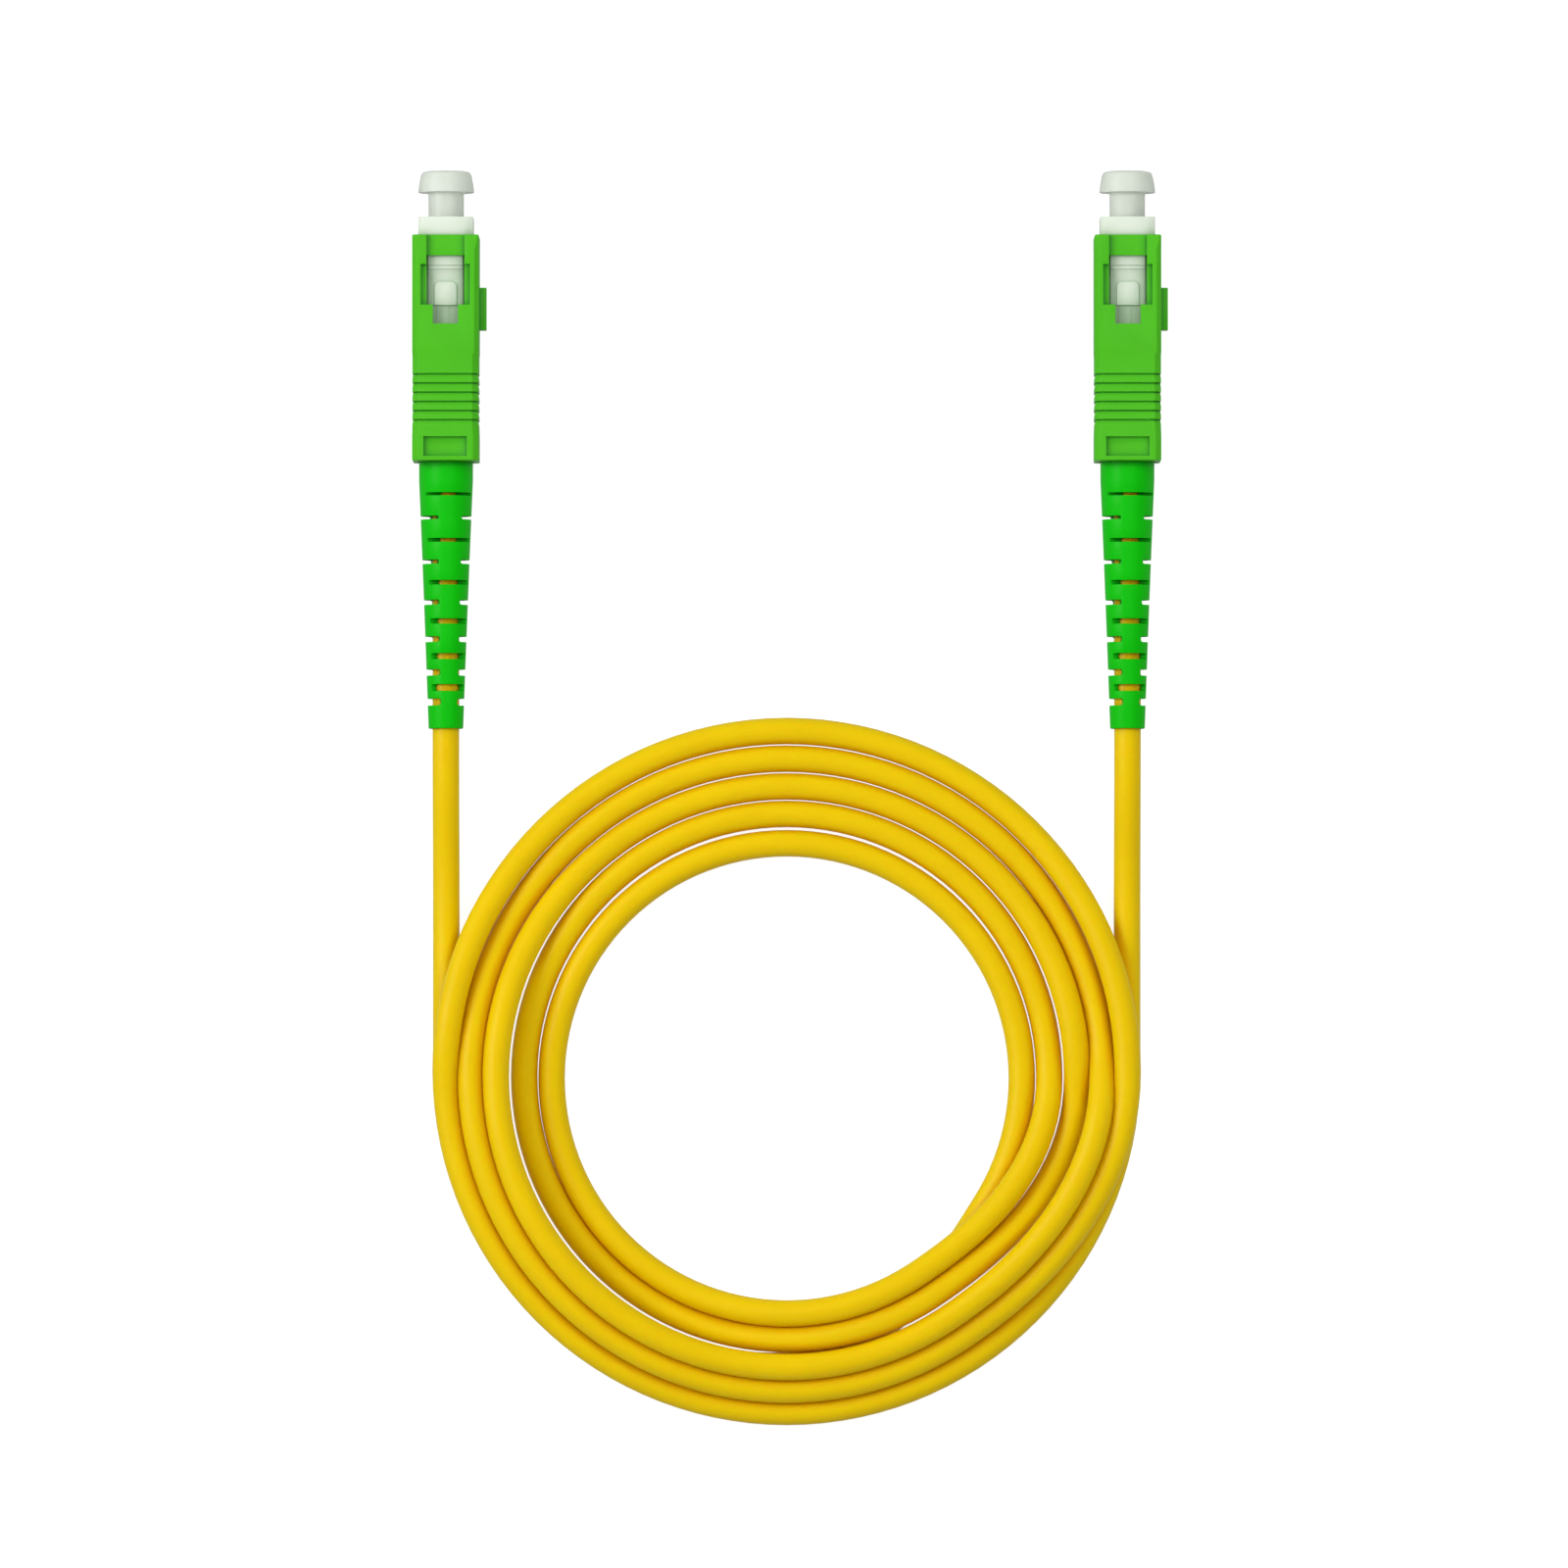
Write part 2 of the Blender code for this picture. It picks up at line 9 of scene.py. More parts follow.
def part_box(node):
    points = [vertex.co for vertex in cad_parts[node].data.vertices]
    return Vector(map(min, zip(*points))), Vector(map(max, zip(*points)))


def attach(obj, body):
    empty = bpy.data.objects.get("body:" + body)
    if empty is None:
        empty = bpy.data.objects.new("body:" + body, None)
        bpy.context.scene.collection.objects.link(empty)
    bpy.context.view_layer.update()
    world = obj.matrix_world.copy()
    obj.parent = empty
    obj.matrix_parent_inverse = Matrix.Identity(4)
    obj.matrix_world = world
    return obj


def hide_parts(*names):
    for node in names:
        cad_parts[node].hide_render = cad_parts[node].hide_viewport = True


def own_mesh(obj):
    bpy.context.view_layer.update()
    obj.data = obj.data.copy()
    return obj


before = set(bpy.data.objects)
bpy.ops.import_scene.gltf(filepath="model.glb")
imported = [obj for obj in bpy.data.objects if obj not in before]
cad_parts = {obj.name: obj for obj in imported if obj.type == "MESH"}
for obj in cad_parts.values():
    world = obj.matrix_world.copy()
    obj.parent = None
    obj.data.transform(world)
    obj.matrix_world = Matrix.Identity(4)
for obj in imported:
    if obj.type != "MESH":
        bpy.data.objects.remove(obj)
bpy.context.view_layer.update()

mm = 0.001


# ---- where things are, read from the frame

sides = ("left", "right")


def middleOf(node):
    low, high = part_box(node)
    return (low + high) / 2


def plugPlace(side):  # on the ferrule's axis, at the front edge of the grip housing
    axis = middleOf(f"{side}_ferrule")
    return Vector((axis.x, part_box(f"{side}_grip_housing")[1].y, axis.z))


plugPlaces = {side: plugPlace(side) for side in sides}
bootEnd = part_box("left_boot")[0].y
coilMiddle = middleOf("coil")


# ---- camera

view = {
    "seenWidth": 174.5 * mm,  # across the square picture, on the table
    "middle": (-0.7 * mm, -37.15 * mm, 3.0 * mm),
    "distance": 2.0,
    "lean": 1.5,  # degrees from straight down, towards the viewer's end
    "sensor": 36,  # mm
}


def addCamera(v):
    data = bpy.data.cameras.new("camera")
    data.sensor_width = v["sensor"]
    data.lens = v["sensor"] * v["distance"] / v["seenWidth"]
    data.clip_end = 10
    camera = bpy.data.objects.new("camera", data)
    bpy.context.scene.collection.objects.link(camera)
    lean = math.radians(v["lean"])
    away = Vector((0, -math.sin(lean), math.cos(lean)))
    camera.location = Vector(v["middle"]) + away * v["distance"]
    camera.rotation_euler = (lean, 0, 0)
    bpy.context.scene.camera = camera


addCamera(view)
print("camera placed")


# ---- nodes and colours


def hexColour(code):  # sRGB hex to linear
    parts = [int(code[i : i + 2], 16) / 255 for i in (1, 3, 5)]
    linear = [c / 12.92 if c <= 0.04045 else ((c + 0.055) / 1.055) ** 2.4 for c in parts]
    return (*linear, 1.0)


def addNode(tree, kind, inputs=None, **settings):
    node = tree.nodes.new(kind)
    for name, value in settings.items():
        setattr(node, name, value)
    for name, value in (inputs or {}).items():
        socket = node.inputs[name]
        if isinstance(value, bpy.types.NodeSocket):
            tree.links.new(value, socket)
        else:
            socket.default_value = value
    return node


def newMaterial(name, principled):
    material = bpy.data.materials.new(name)
    material.use_nodes = True
    tree = material.node_tree
    tree.nodes.clear()
    shader = addNode(tree, "ShaderNodeBsdfPrincipled", principled)
    addNode(tree, "ShaderNodeOutputMaterial", {"Surface": shader.outputs[0]})
    return material, tree, shader


def mottled(tree, coordinates, shades, scaleMm, detail=3.0):  # two close shades, in soft patches
    noise = addNode(
        tree, "ShaderNodeTexNoise", {"Vector": coordinates, "Scale": 1 / (scaleMm * mm), "Detail": detail}
    )
    ramp = addNode(tree, "ShaderNodeValToRGB", {"Fac": noise.outputs["Fac"]})
    ramp.color_ramp.elements[0].position = 0.3
    ramp.color_ramp.elements[1].position = 0.7
    ramp.color_ramp.elements[0].color = hexColour(shades[0])
    ramp.color_ramp.elements[1].color = hexColour(shades[1])
    return ramp.outputs["Color"]


def bumped(tree, shader, coordinates, grainMm, heightMm):  # a fine grain that catches the light
    noise = addNode(
        tree, "ShaderNodeTexNoise", {"Vector": coordinates, "Scale": 1 / (grainMm * mm), "Detail": 2.0}
    )
    bump = addNode(
        tree, "ShaderNodeBump", {"Height": noise.outputs["Fac"], "Distance": heightMm * mm, "Strength": 1.0}
    )
    tree.links.new(bump.outputs["Normal"], shader.inputs["Normal"])


def paintedCreviceShade(tree, shade, paintedShade, reachMm, falloff=2.5):  # painted shade: a darker colour mixed in where the occlusion node finds slots and corners close round the surface
    occlusion = addNode(
        tree, "ShaderNodeAmbientOcclusion", {"Distance": reachMm * mm}, samples=12, only_local=False
    )
    share = addNode(tree, "ShaderNodeMath", {0: occlusion.outputs["AO"], 1: falloff}, operation="POWER")
    mix = addNode(
        tree,
        "ShaderNodeMix",
        {"Factor": share.outputs[0], 6: hexColour(paintedShade), 7: shade},
        data_type="RGBA",
    )
    return mix.outputs[2]


def objectCoordinates(tree):
    return addNode(tree, "ShaderNodeTexCoord").outputs["Object"]


def mouldedPlastic(name, shades, roughness, ior, grainMm=0.12, heightMm=0.004, paintedShade=None, **more):
    skin = {"Roughness": roughness, "IOR": ior, "Specular IOR Level": 0.3}
    material, tree, shader = newMaterial(name, {**skin, **more})
    spot = objectCoordinates(tree)
    shade = mottled(tree, spot, shades, 6.0)
    # optional painted shade in slots and corners
    if paintedShade:
        shade = paintedCreviceShade(tree, shade, *paintedShade)
    tree.links.new(shade, shader.inputs["Base Color"])
    bumped(tree, shader, spot, grainMm, heightMm)
    return material


# green PBT, injection moulded: an even satin skin with a fine spark-eroded grain
def gripPbt():
    # painted shade: a dark green mixed into grooves, slots and recesses, reaching 1.1 mm
    return mouldedPlastic("gripPbt", ("#48BE00", "#4CC304"), 0.42, 1.55, paintedShade=("#0A8400", 1.1))


# off-white natural PBT: slightly see-through at its edges, so it glows a little from inside
def framePbt():
    return mouldedPlastic(
        "framePbt",
        ("#E7F0E0", "#EBF4E5"),
        0.38,
        1.55,
        # painted shade: a grey green mixed in deep inside the windows and corners, reaching 3 mm
        paintedShade=("#9ABA94", 3.0),
        **{"Subsurface Weight": 0.25, "Subsurface Radius": (1.0, 1.0, 0.9), "Subsurface Scale": 0.6 * mm},
    )


# green thermoplastic rubber, moulded over a smooth core pin: soft gloss, deeper green than the housing
def bootRubber():
    matt = {"Specular IOR Level": 0.15}
    # painted shade: a darker green mixed into the slots
    paintedShade = ("#008A00", 0.8)
    return mouldedPlastic("bootRubber", ("#02C000", "#04C600"), 0.45, 1.5, 0.2, 0.005, paintedShade, **matt)


# low-density polyethylene, unpigmented: milky and waxy, with the ferrule faintly showing
def capPolyethylene():
    return mouldedPlastic(
        "capPolyethylene",
        ("#EAF3E6", "#F1F8ED"),
        0.36,
        1.51,
        0.6,
        0.006,
        **{
            "Subsurface Weight": 0.4,
            "Subsurface Radius": (1.0, 1.0, 0.95),
            "Subsurface Scale": 0.9 * mm,
            "Transmission Weight": 0.3,
        },
    )


# yellow plasticised PVC, extruded: soft gloss, faint draw lines along it and a barely wavy skin
def jacketPvc():
    soft = {"Subsurface Weight": 0.7, "Subsurface Radius": (1.0, 0.7, 0.05), "Subsurface Scale": 1.2 * mm}
    skin = {"Roughness": 0.42, "IOR": 1.53, "Specular IOR Level": 0.15}
    material, tree, shader = newMaterial("jacketPvc", {**skin, **soft})
    uv = addNode(tree, "ShaderNodeUVMap", uv_map="along").outputs["UV"]  # metres round and along
    shade = mottled(tree, uv, ("#EDCB00", "#F1CF00"), 9.0, 2.0)
    # painted shade: a deeper yellow mixed in where the strands press close together
    tree.links.new(paintedCreviceShade(tree, shade, "#E4B200", 1.3), shader.inputs["Base Color"])
    drawn = addNode(tree, "ShaderNodeMapping", {"Vector": uv, "Scale": (1.0, 0.05, 1.0)})
    lines = addNode(
        tree, "ShaderNodeTexNoise", {"Vector": drawn.outputs[0], "Scale": 1 / (0.25 * mm), "Detail": 2.0}
    )
    fine = addNode(tree, "ShaderNodeTexNoise", {"Vector": uv, "Scale": 1 / (0.35 * mm), "Detail": 3.0})
    both = addNode(
        tree, "ShaderNodeMath", {0: lines.outputs["Fac"], 1: fine.outputs["Fac"]}, operation="ADD"
    )
    bump = addNode(
        tree, "ShaderNodeBump", {"Height": both.outputs[0], "Distance": 0.008 * mm, "Strength": 1.0}
    )
    tree.links.new(bump.outputs["Normal"], shader.inputs["Normal"])
    return material


# sintered zirconia, ground and polished: dense white, glossy like porcelain
def zirconia():
    return mouldedPlastic(
        "zirconia", ("#F0F0EC", "#F6F6F2"), 0.12, 2.1, 0.05, 0.0004, **{"Coat Weight": 0.3}
    )


# a turned metal: fine tool rings run round it, so its shine streaks across them
def turnedMetal(name, shades, roughness):
    material, tree, shader = newMaterial(name, {"Metallic": 1.0, "Roughness": roughness})
    spot = objectCoordinates(tree)
    tree.links.new(mottled(tree, spot, shades, 2.0), shader.inputs["Base Color"])
    squeezed = addNode(tree, "ShaderNodeMapping", {"Vector": spot, "Scale": (0.02, 1.0, 0.02)})
    bumped(tree, shader, squeezed.outputs[0], 0.06, 0.003)
    return material


def nickelPlatedBrass():
    return turnedMetal("nickelPlatedBrass", ("#CFC9B8", "#DAD5C6"), 0.28)


def crimpAluminium():
    return turnedMetal("crimpAluminium", ("#C9CBCE", "#D6D8DA"), 0.36)


# stainless spring wire, drawn: smooth and grey
def drawnSpringWire():
    material, tree, shader = newMaterial("drawnSpringWire", {"Metallic": 1.0, "Roughness": 0.25})
    spot = objectCoordinates(tree)
    tree.links.new(mottled(tree, spot, ("#A9A9AC", "#BBBBBE"), 0.8), shader.inputs["Base Color"])
    bumped(tree, shader, spot, 0.08, 0.001)
    return material


# aramid yarn: dull gold filaments that lie along the cord
def aramidYarn():
    material, tree, shader = newMaterial(
        "aramidYarn", {"Roughness": 0.75, "IOR": 1.6, "Sheen Weight": 0.4, "Sheen Roughness": 0.4}
    )
    spot = objectCoordinates(tree)
    along = addNode(tree, "ShaderNodeMapping", {"Vector": spot, "Scale": (1.0, 0.04, 1.0)}).outputs[0]
    tree.links.new(mottled(tree, along, ("#B8963A", "#E3C668"), 0.12), shader.inputs["Base Color"])
    bumped(tree, shader, along, 0.05, 0.02)
    return material


# white PVC buffer, extruded over the glass
def bufferPvc():
    return mouldedPlastic("bufferPvc", ("#E6E6E2", "#EEEEEA"), 0.45, 1.53, 0.2, 0.003)


finishes = {
    "green_grip": gripPbt(),
    "off_white_frame": framePbt(),
    "green_boot": bootRubber(),
    "clear_cap": capPolyethylene(),
    "yellow_jacket": jacketPvc(),
    "zirconia": zirconia(),
    "nickelled_brass": nickelPlatedBrass(),
    "crimp_metal": crimpAluminium(),
    "spring_steel": drawnSpringWire(),
    "aramid_yarn": aramidYarn(),
    "white_buffer": bufferPvc(),
}
print("materials made")


# ---- helpers for pieces


def asObject(name, mesh):
    obj = bpy.data.objects.new(name, mesh)
    bpy.context.scene.collection.objects.link(obj)
    return obj


def shadeByAngle(mesh, degrees):
    mesh.shade_smooth()
    mesh.set_sharp_from_angle(angle=math.radians(degrees))


def meshFrom(name, made, weld=1e-7):
    bmesh.ops.remove_doubles(made, verts=made.verts, dist=weld)
    bmesh.ops.dissolve_degenerate(made, dist=weld, edges=made.edges)
    bmesh.ops.recalc_face_normals(made, faces=made.faces)
    mesh = bpy.data.meshes.new(name)
    made.to_mesh(mesh)
    made.free()
    shadeByAngle(mesh, 35)
    return mesh


def plainMesh(obj, name):  # the object with its modifiers, as a mesh; the object itself goes
    graph = bpy.context.evaluated_depsgraph_get()
    mesh = bpy.data.meshes.new_from_object(obj.evaluated_get(graph), depsgraph=graph)
    mesh.name = name
    bpy.data.objects.remove(obj, do_unlink=True)
    return mesh


def place(mesh, name, side, body, node, slot):  # one side's copy, riding on its body
    own = mesh.copy()
    own.transform(Matrix.Translation(plugPlaces[side]))
    own.materials.clear()
    own.materials.append(finishes[slot])
    obj = asObject(f"{side}{name}", own)
    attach(obj, body)
    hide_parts(f"{side}_{node}")
    return obj


def placeBoth(mesh, name, body, node, slot):
    for side in sides:
        place(mesh, name, side, body.format(side=side), node, slot)


def roundedOutline(outline, radius, steps=4):  # (y, r, cut) corners; cut 0 leaves a corner sharp
    points = []
    count = len(outline)
    for i, corner in enumerate(outline):
        y, r = corner[:2]
        size = corner[2] if len(corner) > 2 else radius
        here = Vector((y, r))
        before = Vector(outline[i - 1][:2]) - here
        after = Vector(outline[(i + 1) % count][:2]) - here
        size = min(size, before.length * 0.45, after.length * 0.45)
        if size <= 0 or r <= 0:
            points.append((y, r))
            continue
        a = here + before.normalized() * size
        b = here + after.normalized() * size
        for k in range(steps + 1):
            t = k / steps
            p = a * (1 - t) ** 2 + here * 2 * t * (1 - t) + b * t**2
            points.append((p.x, p.y))
    return points


def turnedMesh(name, outline, radius=0.05 * mm):  # a closed outline, about the Y axis
    outline = roundedOutline(outline, radius)
    roundSteps = 64
    made = bmesh.new()
    rings = []
    for step in range(roundSteps):
        angle = 2 * math.pi * step / roundSteps
        across, up = math.cos(angle), math.sin(angle)
        rings.append([made.verts.new((r * across, y, r * up)) for y, r in outline])
    for step in range(roundSteps):
        here, after = rings[step], rings[(step + 1) % roundSteps]
        for i in range(len(outline)):
            j = (i + 1) % len(outline)
            made.faces.new((here[i], here[j], after[j], after[i]))
    return meshFrom(name, made)


def newTree(name, sockets):  # a geometry tree with these named inputs, and one for the material
    tree = bpy.data.node_groups.new(name, "GeometryNodeTree")
    tree.interface.new_socket("Geometry", in_out="OUTPUT", socket_type="NodeSocketGeometry")
    for socket, kind in {**sockets, "Material": "Material"}.items():
        tree.interface.new_socket(socket, in_out="INPUT", socket_type=f"NodeSocket{kind}")
    return tree, tree.nodes.new("NodeGroupInput").outputs


def finishTree(tree, geometry, sizes):
    real = addNode(tree, "GeometryNodeRealizeInstances", {"Geometry": geometry})
    finished = addNode(
        tree, "GeometryNodeSetMaterial", {"Geometry": real.outputs[0], "Material": sizes["Material"]}
    )
    addNode(tree, "NodeGroupOutput", {"Geometry": finished.outputs[0]})
    return tree


def grown(name, tree, values, material):  # a mesh made by a node tree
    obj = asObject(name, bpy.data.meshes.new(name))
    modifier = obj.modifiers.new(name, "NODES")
    modifier.node_group = tree
    for item in tree.interface.items_tree:
        if item.in_out == "INPUT":
            modifier[item.identifier] = {**values, "Material": material}[item.name]
    return plainMesh(obj, name)


def repeatTree():  # copies of one object in a row
    kinds = {"Shape": "Object", "Count": "Int", "Start": "Vector", "Step": "Vector"}
    tree, sizes = newTree("repeated", kinds)
    row = addNode(
        tree,
        "GeometryNodeMeshLine",
        {"Count": sizes["Count"], "Start Location": sizes["Start"], "Offset": sizes["Step"]},
    )
    shape = addNode(tree, "GeometryNodeObjectInfo", {"Object": sizes["Shape"]})
    copies = addNode(
        tree,
        "GeometryNodeInstanceOnPoints",
        {"Points": row.outputs["Mesh"], "Instance": shape.outputs["Geometry"]},
    )
    return finishTree(tree, copies.outputs["Instances"], sizes)


# ---- the cord

cordSizes = {
    "diameter": 2.96 * mm,
    "rings": 5,
    "outerR": 37.9 * mm,  # to the middle of the outer ring
    "inward": (0.0, 2.77, 5.58, 8.68, 11.73),  # mm from the outer ring to each ring
    "drop": (0.0, 0.32, 0.6, 0.57, 0.78),  # mm by which each ring lies nearer the viewer's end
    "tuck": (184, 262, 328),  # degrees by which the first tail is under rings 1, 3 and 5
    "shift": (304, 358),  # degrees over which each ring moves out to the next
    "humpReach": 34,  # degrees over which a turn climbs to pass over another
    # down one lead, from the boot to the coil, in mm: how far past the boot's end, and how high its middle
    "lead": ((-0.2, 4.5), (0.3, 4.5), (3.0, 4.46), (8.0, 3.8), (14.0, 2.2), (18.5, 1.55), (22.3, 1.48)),
    "meanR": 32 * mm,  # turns degrees into lengths
    "straightSteps": 14,
    "stepsPerTurn": 120,
    "roundSteps": 28,
    "blend": (6, 4),  # passes over each lead's last height, and the steps of lead that they take in
}


def eased(value, start, end):
    t = min(max((value - start) / (end - start), 0.0), 1.0)
    return t * t * (3 - 2 * t)


def ringPoint(c, ring, degrees):  # ring 1 is the outermost, and may be a fraction between two rings
    numbers = range(1, c["rings"] + 1)
    radius = c["outerR"] - np.interp(ring, numbers, c["inward"]) * mm
    angle = math.radians(degrees)
    x = coilMiddle.x + radius * math.cos(angle)
    y = coilMiddle.y - np.interp(ring, numbers, c["drop"]) * mm + radius * math.sin(angle)
    return (x, y)


def coilTurns(c):  # the coil's plan and layers: 0 the first tail, 1 the last, 2 and 3 the turns on them
    step = 360 / c["stepsPerTurn"]
    plan, layers = [], []
    wound = 360 * c["rings"] + 180  # from the left lead round to the right one
    for i in range(1, round(wound / step)):
        turn, degrees = divmod(180 + i * step, 360)
        if turn == 0:  # tucked under the rings, from the outermost to the innermost
            under = c["tuck"]
            ring = 1 + 2 * eased(degrees, under[0], under[1]) + 2 * eased(degrees, under[1], under[2])
            layer = 0
        elif turn == c["rings"] and degrees >= 180:  # leaves under the outermost ring
            ring = 1
            layer = 1
        else:
            ring = c["rings"] + 1 - turn - eased(degrees, *c["shift"])
            layer = 2 + turn % 2  # where the rings crowd, every other turn rides on its neighbours
        plan.append(ringPoint(c, ring, degrees))
        layers.append(layer)
    return plan, layers


def smoothThrough(points, spacing):  # a smooth curve through points, read at even steps
    places = [Vector(p) for p in points]
    places = [places[0] * 2 - places[1], *places, places[-1] * 2 - places[-2]]
    fine, parts = [], 20
    for i in range(1, len(places) - 2):
        before, here, after, beyond = places[i - 1 : i + 3]
        for k in range(parts):
            t = k / parts
            bend = 2 * here + (after - before) * t + (2 * before - 5 * here + 4 * after - beyond) * t**2
            fine.append(0.5 * (bend + (3 * here - before - 3 * after + beyond) * t**3))
    fine.append(places[-2])
    fine = np.array([tuple(p) for p in fine])
    travelled = np.concatenate([[0], np.cumsum(np.linalg.norm(np.diff(fine, axis=0), axis=1))])
    wanted = np.linspace(0, travelled[-1], max(2, round(travelled[-1] / spacing) + 1))
    return np.stack([np.interp(wanted, travelled, fine[:, k]) for k in range(3)], axis=1)


def restOn(plan, heights, lower, upper, along, c):  # how high the upper turns must lie to clear the lower
    need = np.zeros(len(upper))
    itself = 4 * c["diameter"]  # nearer than this along the cord, it is the same strand
    for n, i in enumerate(upper):
        apart = np.linalg.norm(plan[lower] - plan[i], axis=1)
        near = (apart < c["diameter"]) & (np.abs(along[lower] - along[i]) > itself)
        if near.any():
            over = heights[lower][near] + np.sqrt(c["diameter"] ** 2 - apart[near] ** 2)
            need[n] = max(0.0, (over - c["diameter"] / 2).max())
    return need


def longHump(need, upper, c, spacing):  # climb early and sink late, so that no bend is tight
    reach = math.radians(c["humpReach"]) * c["meanR"]
    offsets = np.abs(np.subtract.outer(upper, upper)) * spacing
    window = np.where(offsets < reach, np.cos(np.pi / 2 * np.minimum(offsets / reach, 1)) ** 2, 0)
    return (window * need[None, :]).max(axis=1)


def cordPath(c):
    lead = [(bootEnd - down * mm, height * mm) for down, height in c["lead"]]
    spacing = 2 * math.pi * c["meanR"] / c["stepsPerTurn"]
    left = smoothThrough([(plugPlaces["left"].x, y, z) for y, z in lead], spacing)
    right = smoothThrough([(plugPlaces["right"].x, y, z) for y, z in lead], spacing)[::-1]
    turns, layers = coilTurns(c)
    floorZ = c["diameter"] / 2
    startY, endY = left[-1][1], coilMiddle.y
    steps = c["straightSteps"]
    straight = [endY + (startY - endY) * (1 - k / steps) for k in range(1, steps)]
    plan = [tuple(p[:2]) for p in left] + [(left[-1][0], y) for y in straight] + turns
    plan += [(right[0][0], y) for y in straight[::-1]] + [tuple(p[:2]) for p in right]
    plan = np.array(plan)
    layer = np.array([0] * (len(left) + len(straight)) + layers + [1] * (len(straight) + len(right)))
    along = np.concatenate([[0], np.cumsum(np.linalg.norm(np.diff(plan, axis=0), axis=1))])
    heights = np.full(len(plan), floorZ)
    for level in (1, 2, 3):
        upper, lower = np.where(layer == level)[0], np.where(layer < level)[0]
        need = restOn(plan, heights, lower, upper, along, c)
        heights[upper] = floorZ + longHump(need, upper, c, spacing)
    heights[: len(left)] = left[:, 2]
    heights[-len(right) :] = right[:, 2]
    passes, taken = c["blend"]
    inner = slice(len(left) - taken, len(plan) - len(right) + taken)
    for _ in range(passes):
        rolled = (np.roll(heights, 1) + heights * 2 + np.roll(heights, -1)) / 4
        heights[inner] = rolled[inner]
    return np.column_stack([plan, heights])


def tubeMesh(name, path, radius, roundSteps):  # with metres round and along it as its own map
    path = np.asarray(path)
    ahead = np.gradient(path, axis=0)
    ahead /= np.linalg.norm(ahead, axis=1)[:, None]
    travelled = np.concatenate([[0], np.cumsum(np.linalg.norm(np.diff(path, axis=0), axis=1))])
    made = bmesh.new()
    uv = made.loops.layers.uv.new("along")
    rings = []
    for point, forward in zip(path, ahead):
        out = np.cross(forward, (0, 0, 1))
        out /= np.linalg.norm(out)
        up = np.cross(out, forward)
        ring = []
        for k in range(roundSteps):
            angle = 2 * math.pi * k / roundSteps
            ring.append(made.verts.new(point + radius * (math.cos(angle) * out + math.sin(angle) * up)))
        rings.append(ring)
    around = 2 * math.pi * radius
    for i in range(len(rings) - 1):
        for k in range(roundSteps):
            j = (k + 1) % roundSteps
            face = made.faces.new((rings[i][k], rings[i][j], rings[i + 1][j], rings[i + 1][k]))
            corners = ((k, i), (k + 1, i), (k + 1, i + 1), (k, i + 1))
            for loop, (turn, row) in zip(face.loops, corners):
                loop[uv].uv = (around * turn / roundSteps, travelled[row])
    made.faces.new(rings[0][::-1])
    made.faces.new(rings[-1])
    bmesh.ops.recalc_face_normals(made, faces=made.faces)
    mesh = bpy.data.meshes.new(name)
    made.to_mesh(mesh)
    made.free()
    shadeByAngle(mesh, 50)
    return mesh


def addCord(c):
    path = cordPath(c)
    cord = asObject("cord", tubeMesh("cord", path, c["diameter"] / 2, c["roundSteps"]))
    cord.data.materials.append(finishes["yellow_jacket"])
    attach(cord, "root")
    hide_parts("left_lead", "coil", "right_lead")


addCord(cordSizes)


# ---- grip housing: the green shell

gripSizes = {
    "width": 7.4 * mm,
    "height": 9.0 * mm,
    "length": 25.1 * mm,
    "chamfer": 0.5 * mm,
    "gripChamfer": 0.68 * mm,
    "gripStart": 13.4 * mm,
    "gripEnd": 21.7 * mm,
    "firstGroove": 15.5 * mm,
    "groovePitch": 1.02 * mm,
    "grooves": 6,
    "grooveDepth": 0.24,
    "sideGrooveDepth": 0.17,
    "cavity": (6.4 * mm, 7.7 * mm),
    "rearWall": 1.7 * mm,
    "rearBoreR": 3.3 * mm,
    "rearCut": 0.08 * mm,
    "bevel": 0.07 * mm,
    # in mm: the key stands out of the right side; each opening is (left, rear, right, front, depth)
    "key": {"rear": -10.45, "front": -5.75, "half": 1.1, "out": 0.8, "rooted": 0.3},
    "through": {"windows": (-2.1, -7.8, 2.1, -2.3), "windowTails": (-1.4, -9.9, 1.4, -7.7)},
    "recesses": {
        "ledges": (-2.75, -7.8, 2.7, -3.3, 0.5),
        "channels": (-2.1, -2.35, 2.1, 1, 0.5),
        "labels": (-2.43, -24.6, 2.37, -22.45, 0.4),
    },
}


def gripStations(g):  # (distance back, how much smaller all round, chamfer)
    return [
        (0.0, 0.1 * mm, 0.16 * mm),
        (0.1 * mm, 0.0, 0.16 * mm),
        (0.6 * mm, 0.0, 0.2 * mm),
        (1.7 * mm, 0.0, g["chamfer"]),
        (g["gripStart"] - 0.35 * mm, 0.0, g["chamfer"]),
        (g["gripStart"], 0.03 * mm, g["gripChamfer"]),
        (g["gripEnd"] - 0.4 * mm, 0.03 * mm, g["gripChamfer"]),
        (g["gripEnd"] + 0.7 * mm, 0.0, g["chamfer"] + 0.12 * mm),
        (g["length"] - g["rearCut"], 0.0, g["chamfer"] + 0.12 * mm),
        (g["length"], g["rearCut"], g["chamfer"] + 0.12 * mm),
    ]


def outlineLoop(made, halfW, halfH, c, y):  # a rectangle with its corners cut off, across the Y axis
    corners = (
        (halfW, halfH - c), (halfW - c, halfH), (-halfW + c, halfH), (-halfW, halfH - c),
        (-halfW, -halfH + c), (-halfW + c, -halfH), (halfW - c, -halfH), (halfW, -halfH + c),
    )
    return [made.verts.new((x, y, z)) for x, z in corners]


def joinLoops(made, loops, closed=False):
    pairs = zip(loops, loops[1:] + loops[:1]) if closed else zip(loops, loops[1:])
    for here, after in pairs:
        for i in range(len(here)):
            j = (i + 1) % len(here)
            made.faces.new((here[i], here[j], after[j], after[i]))


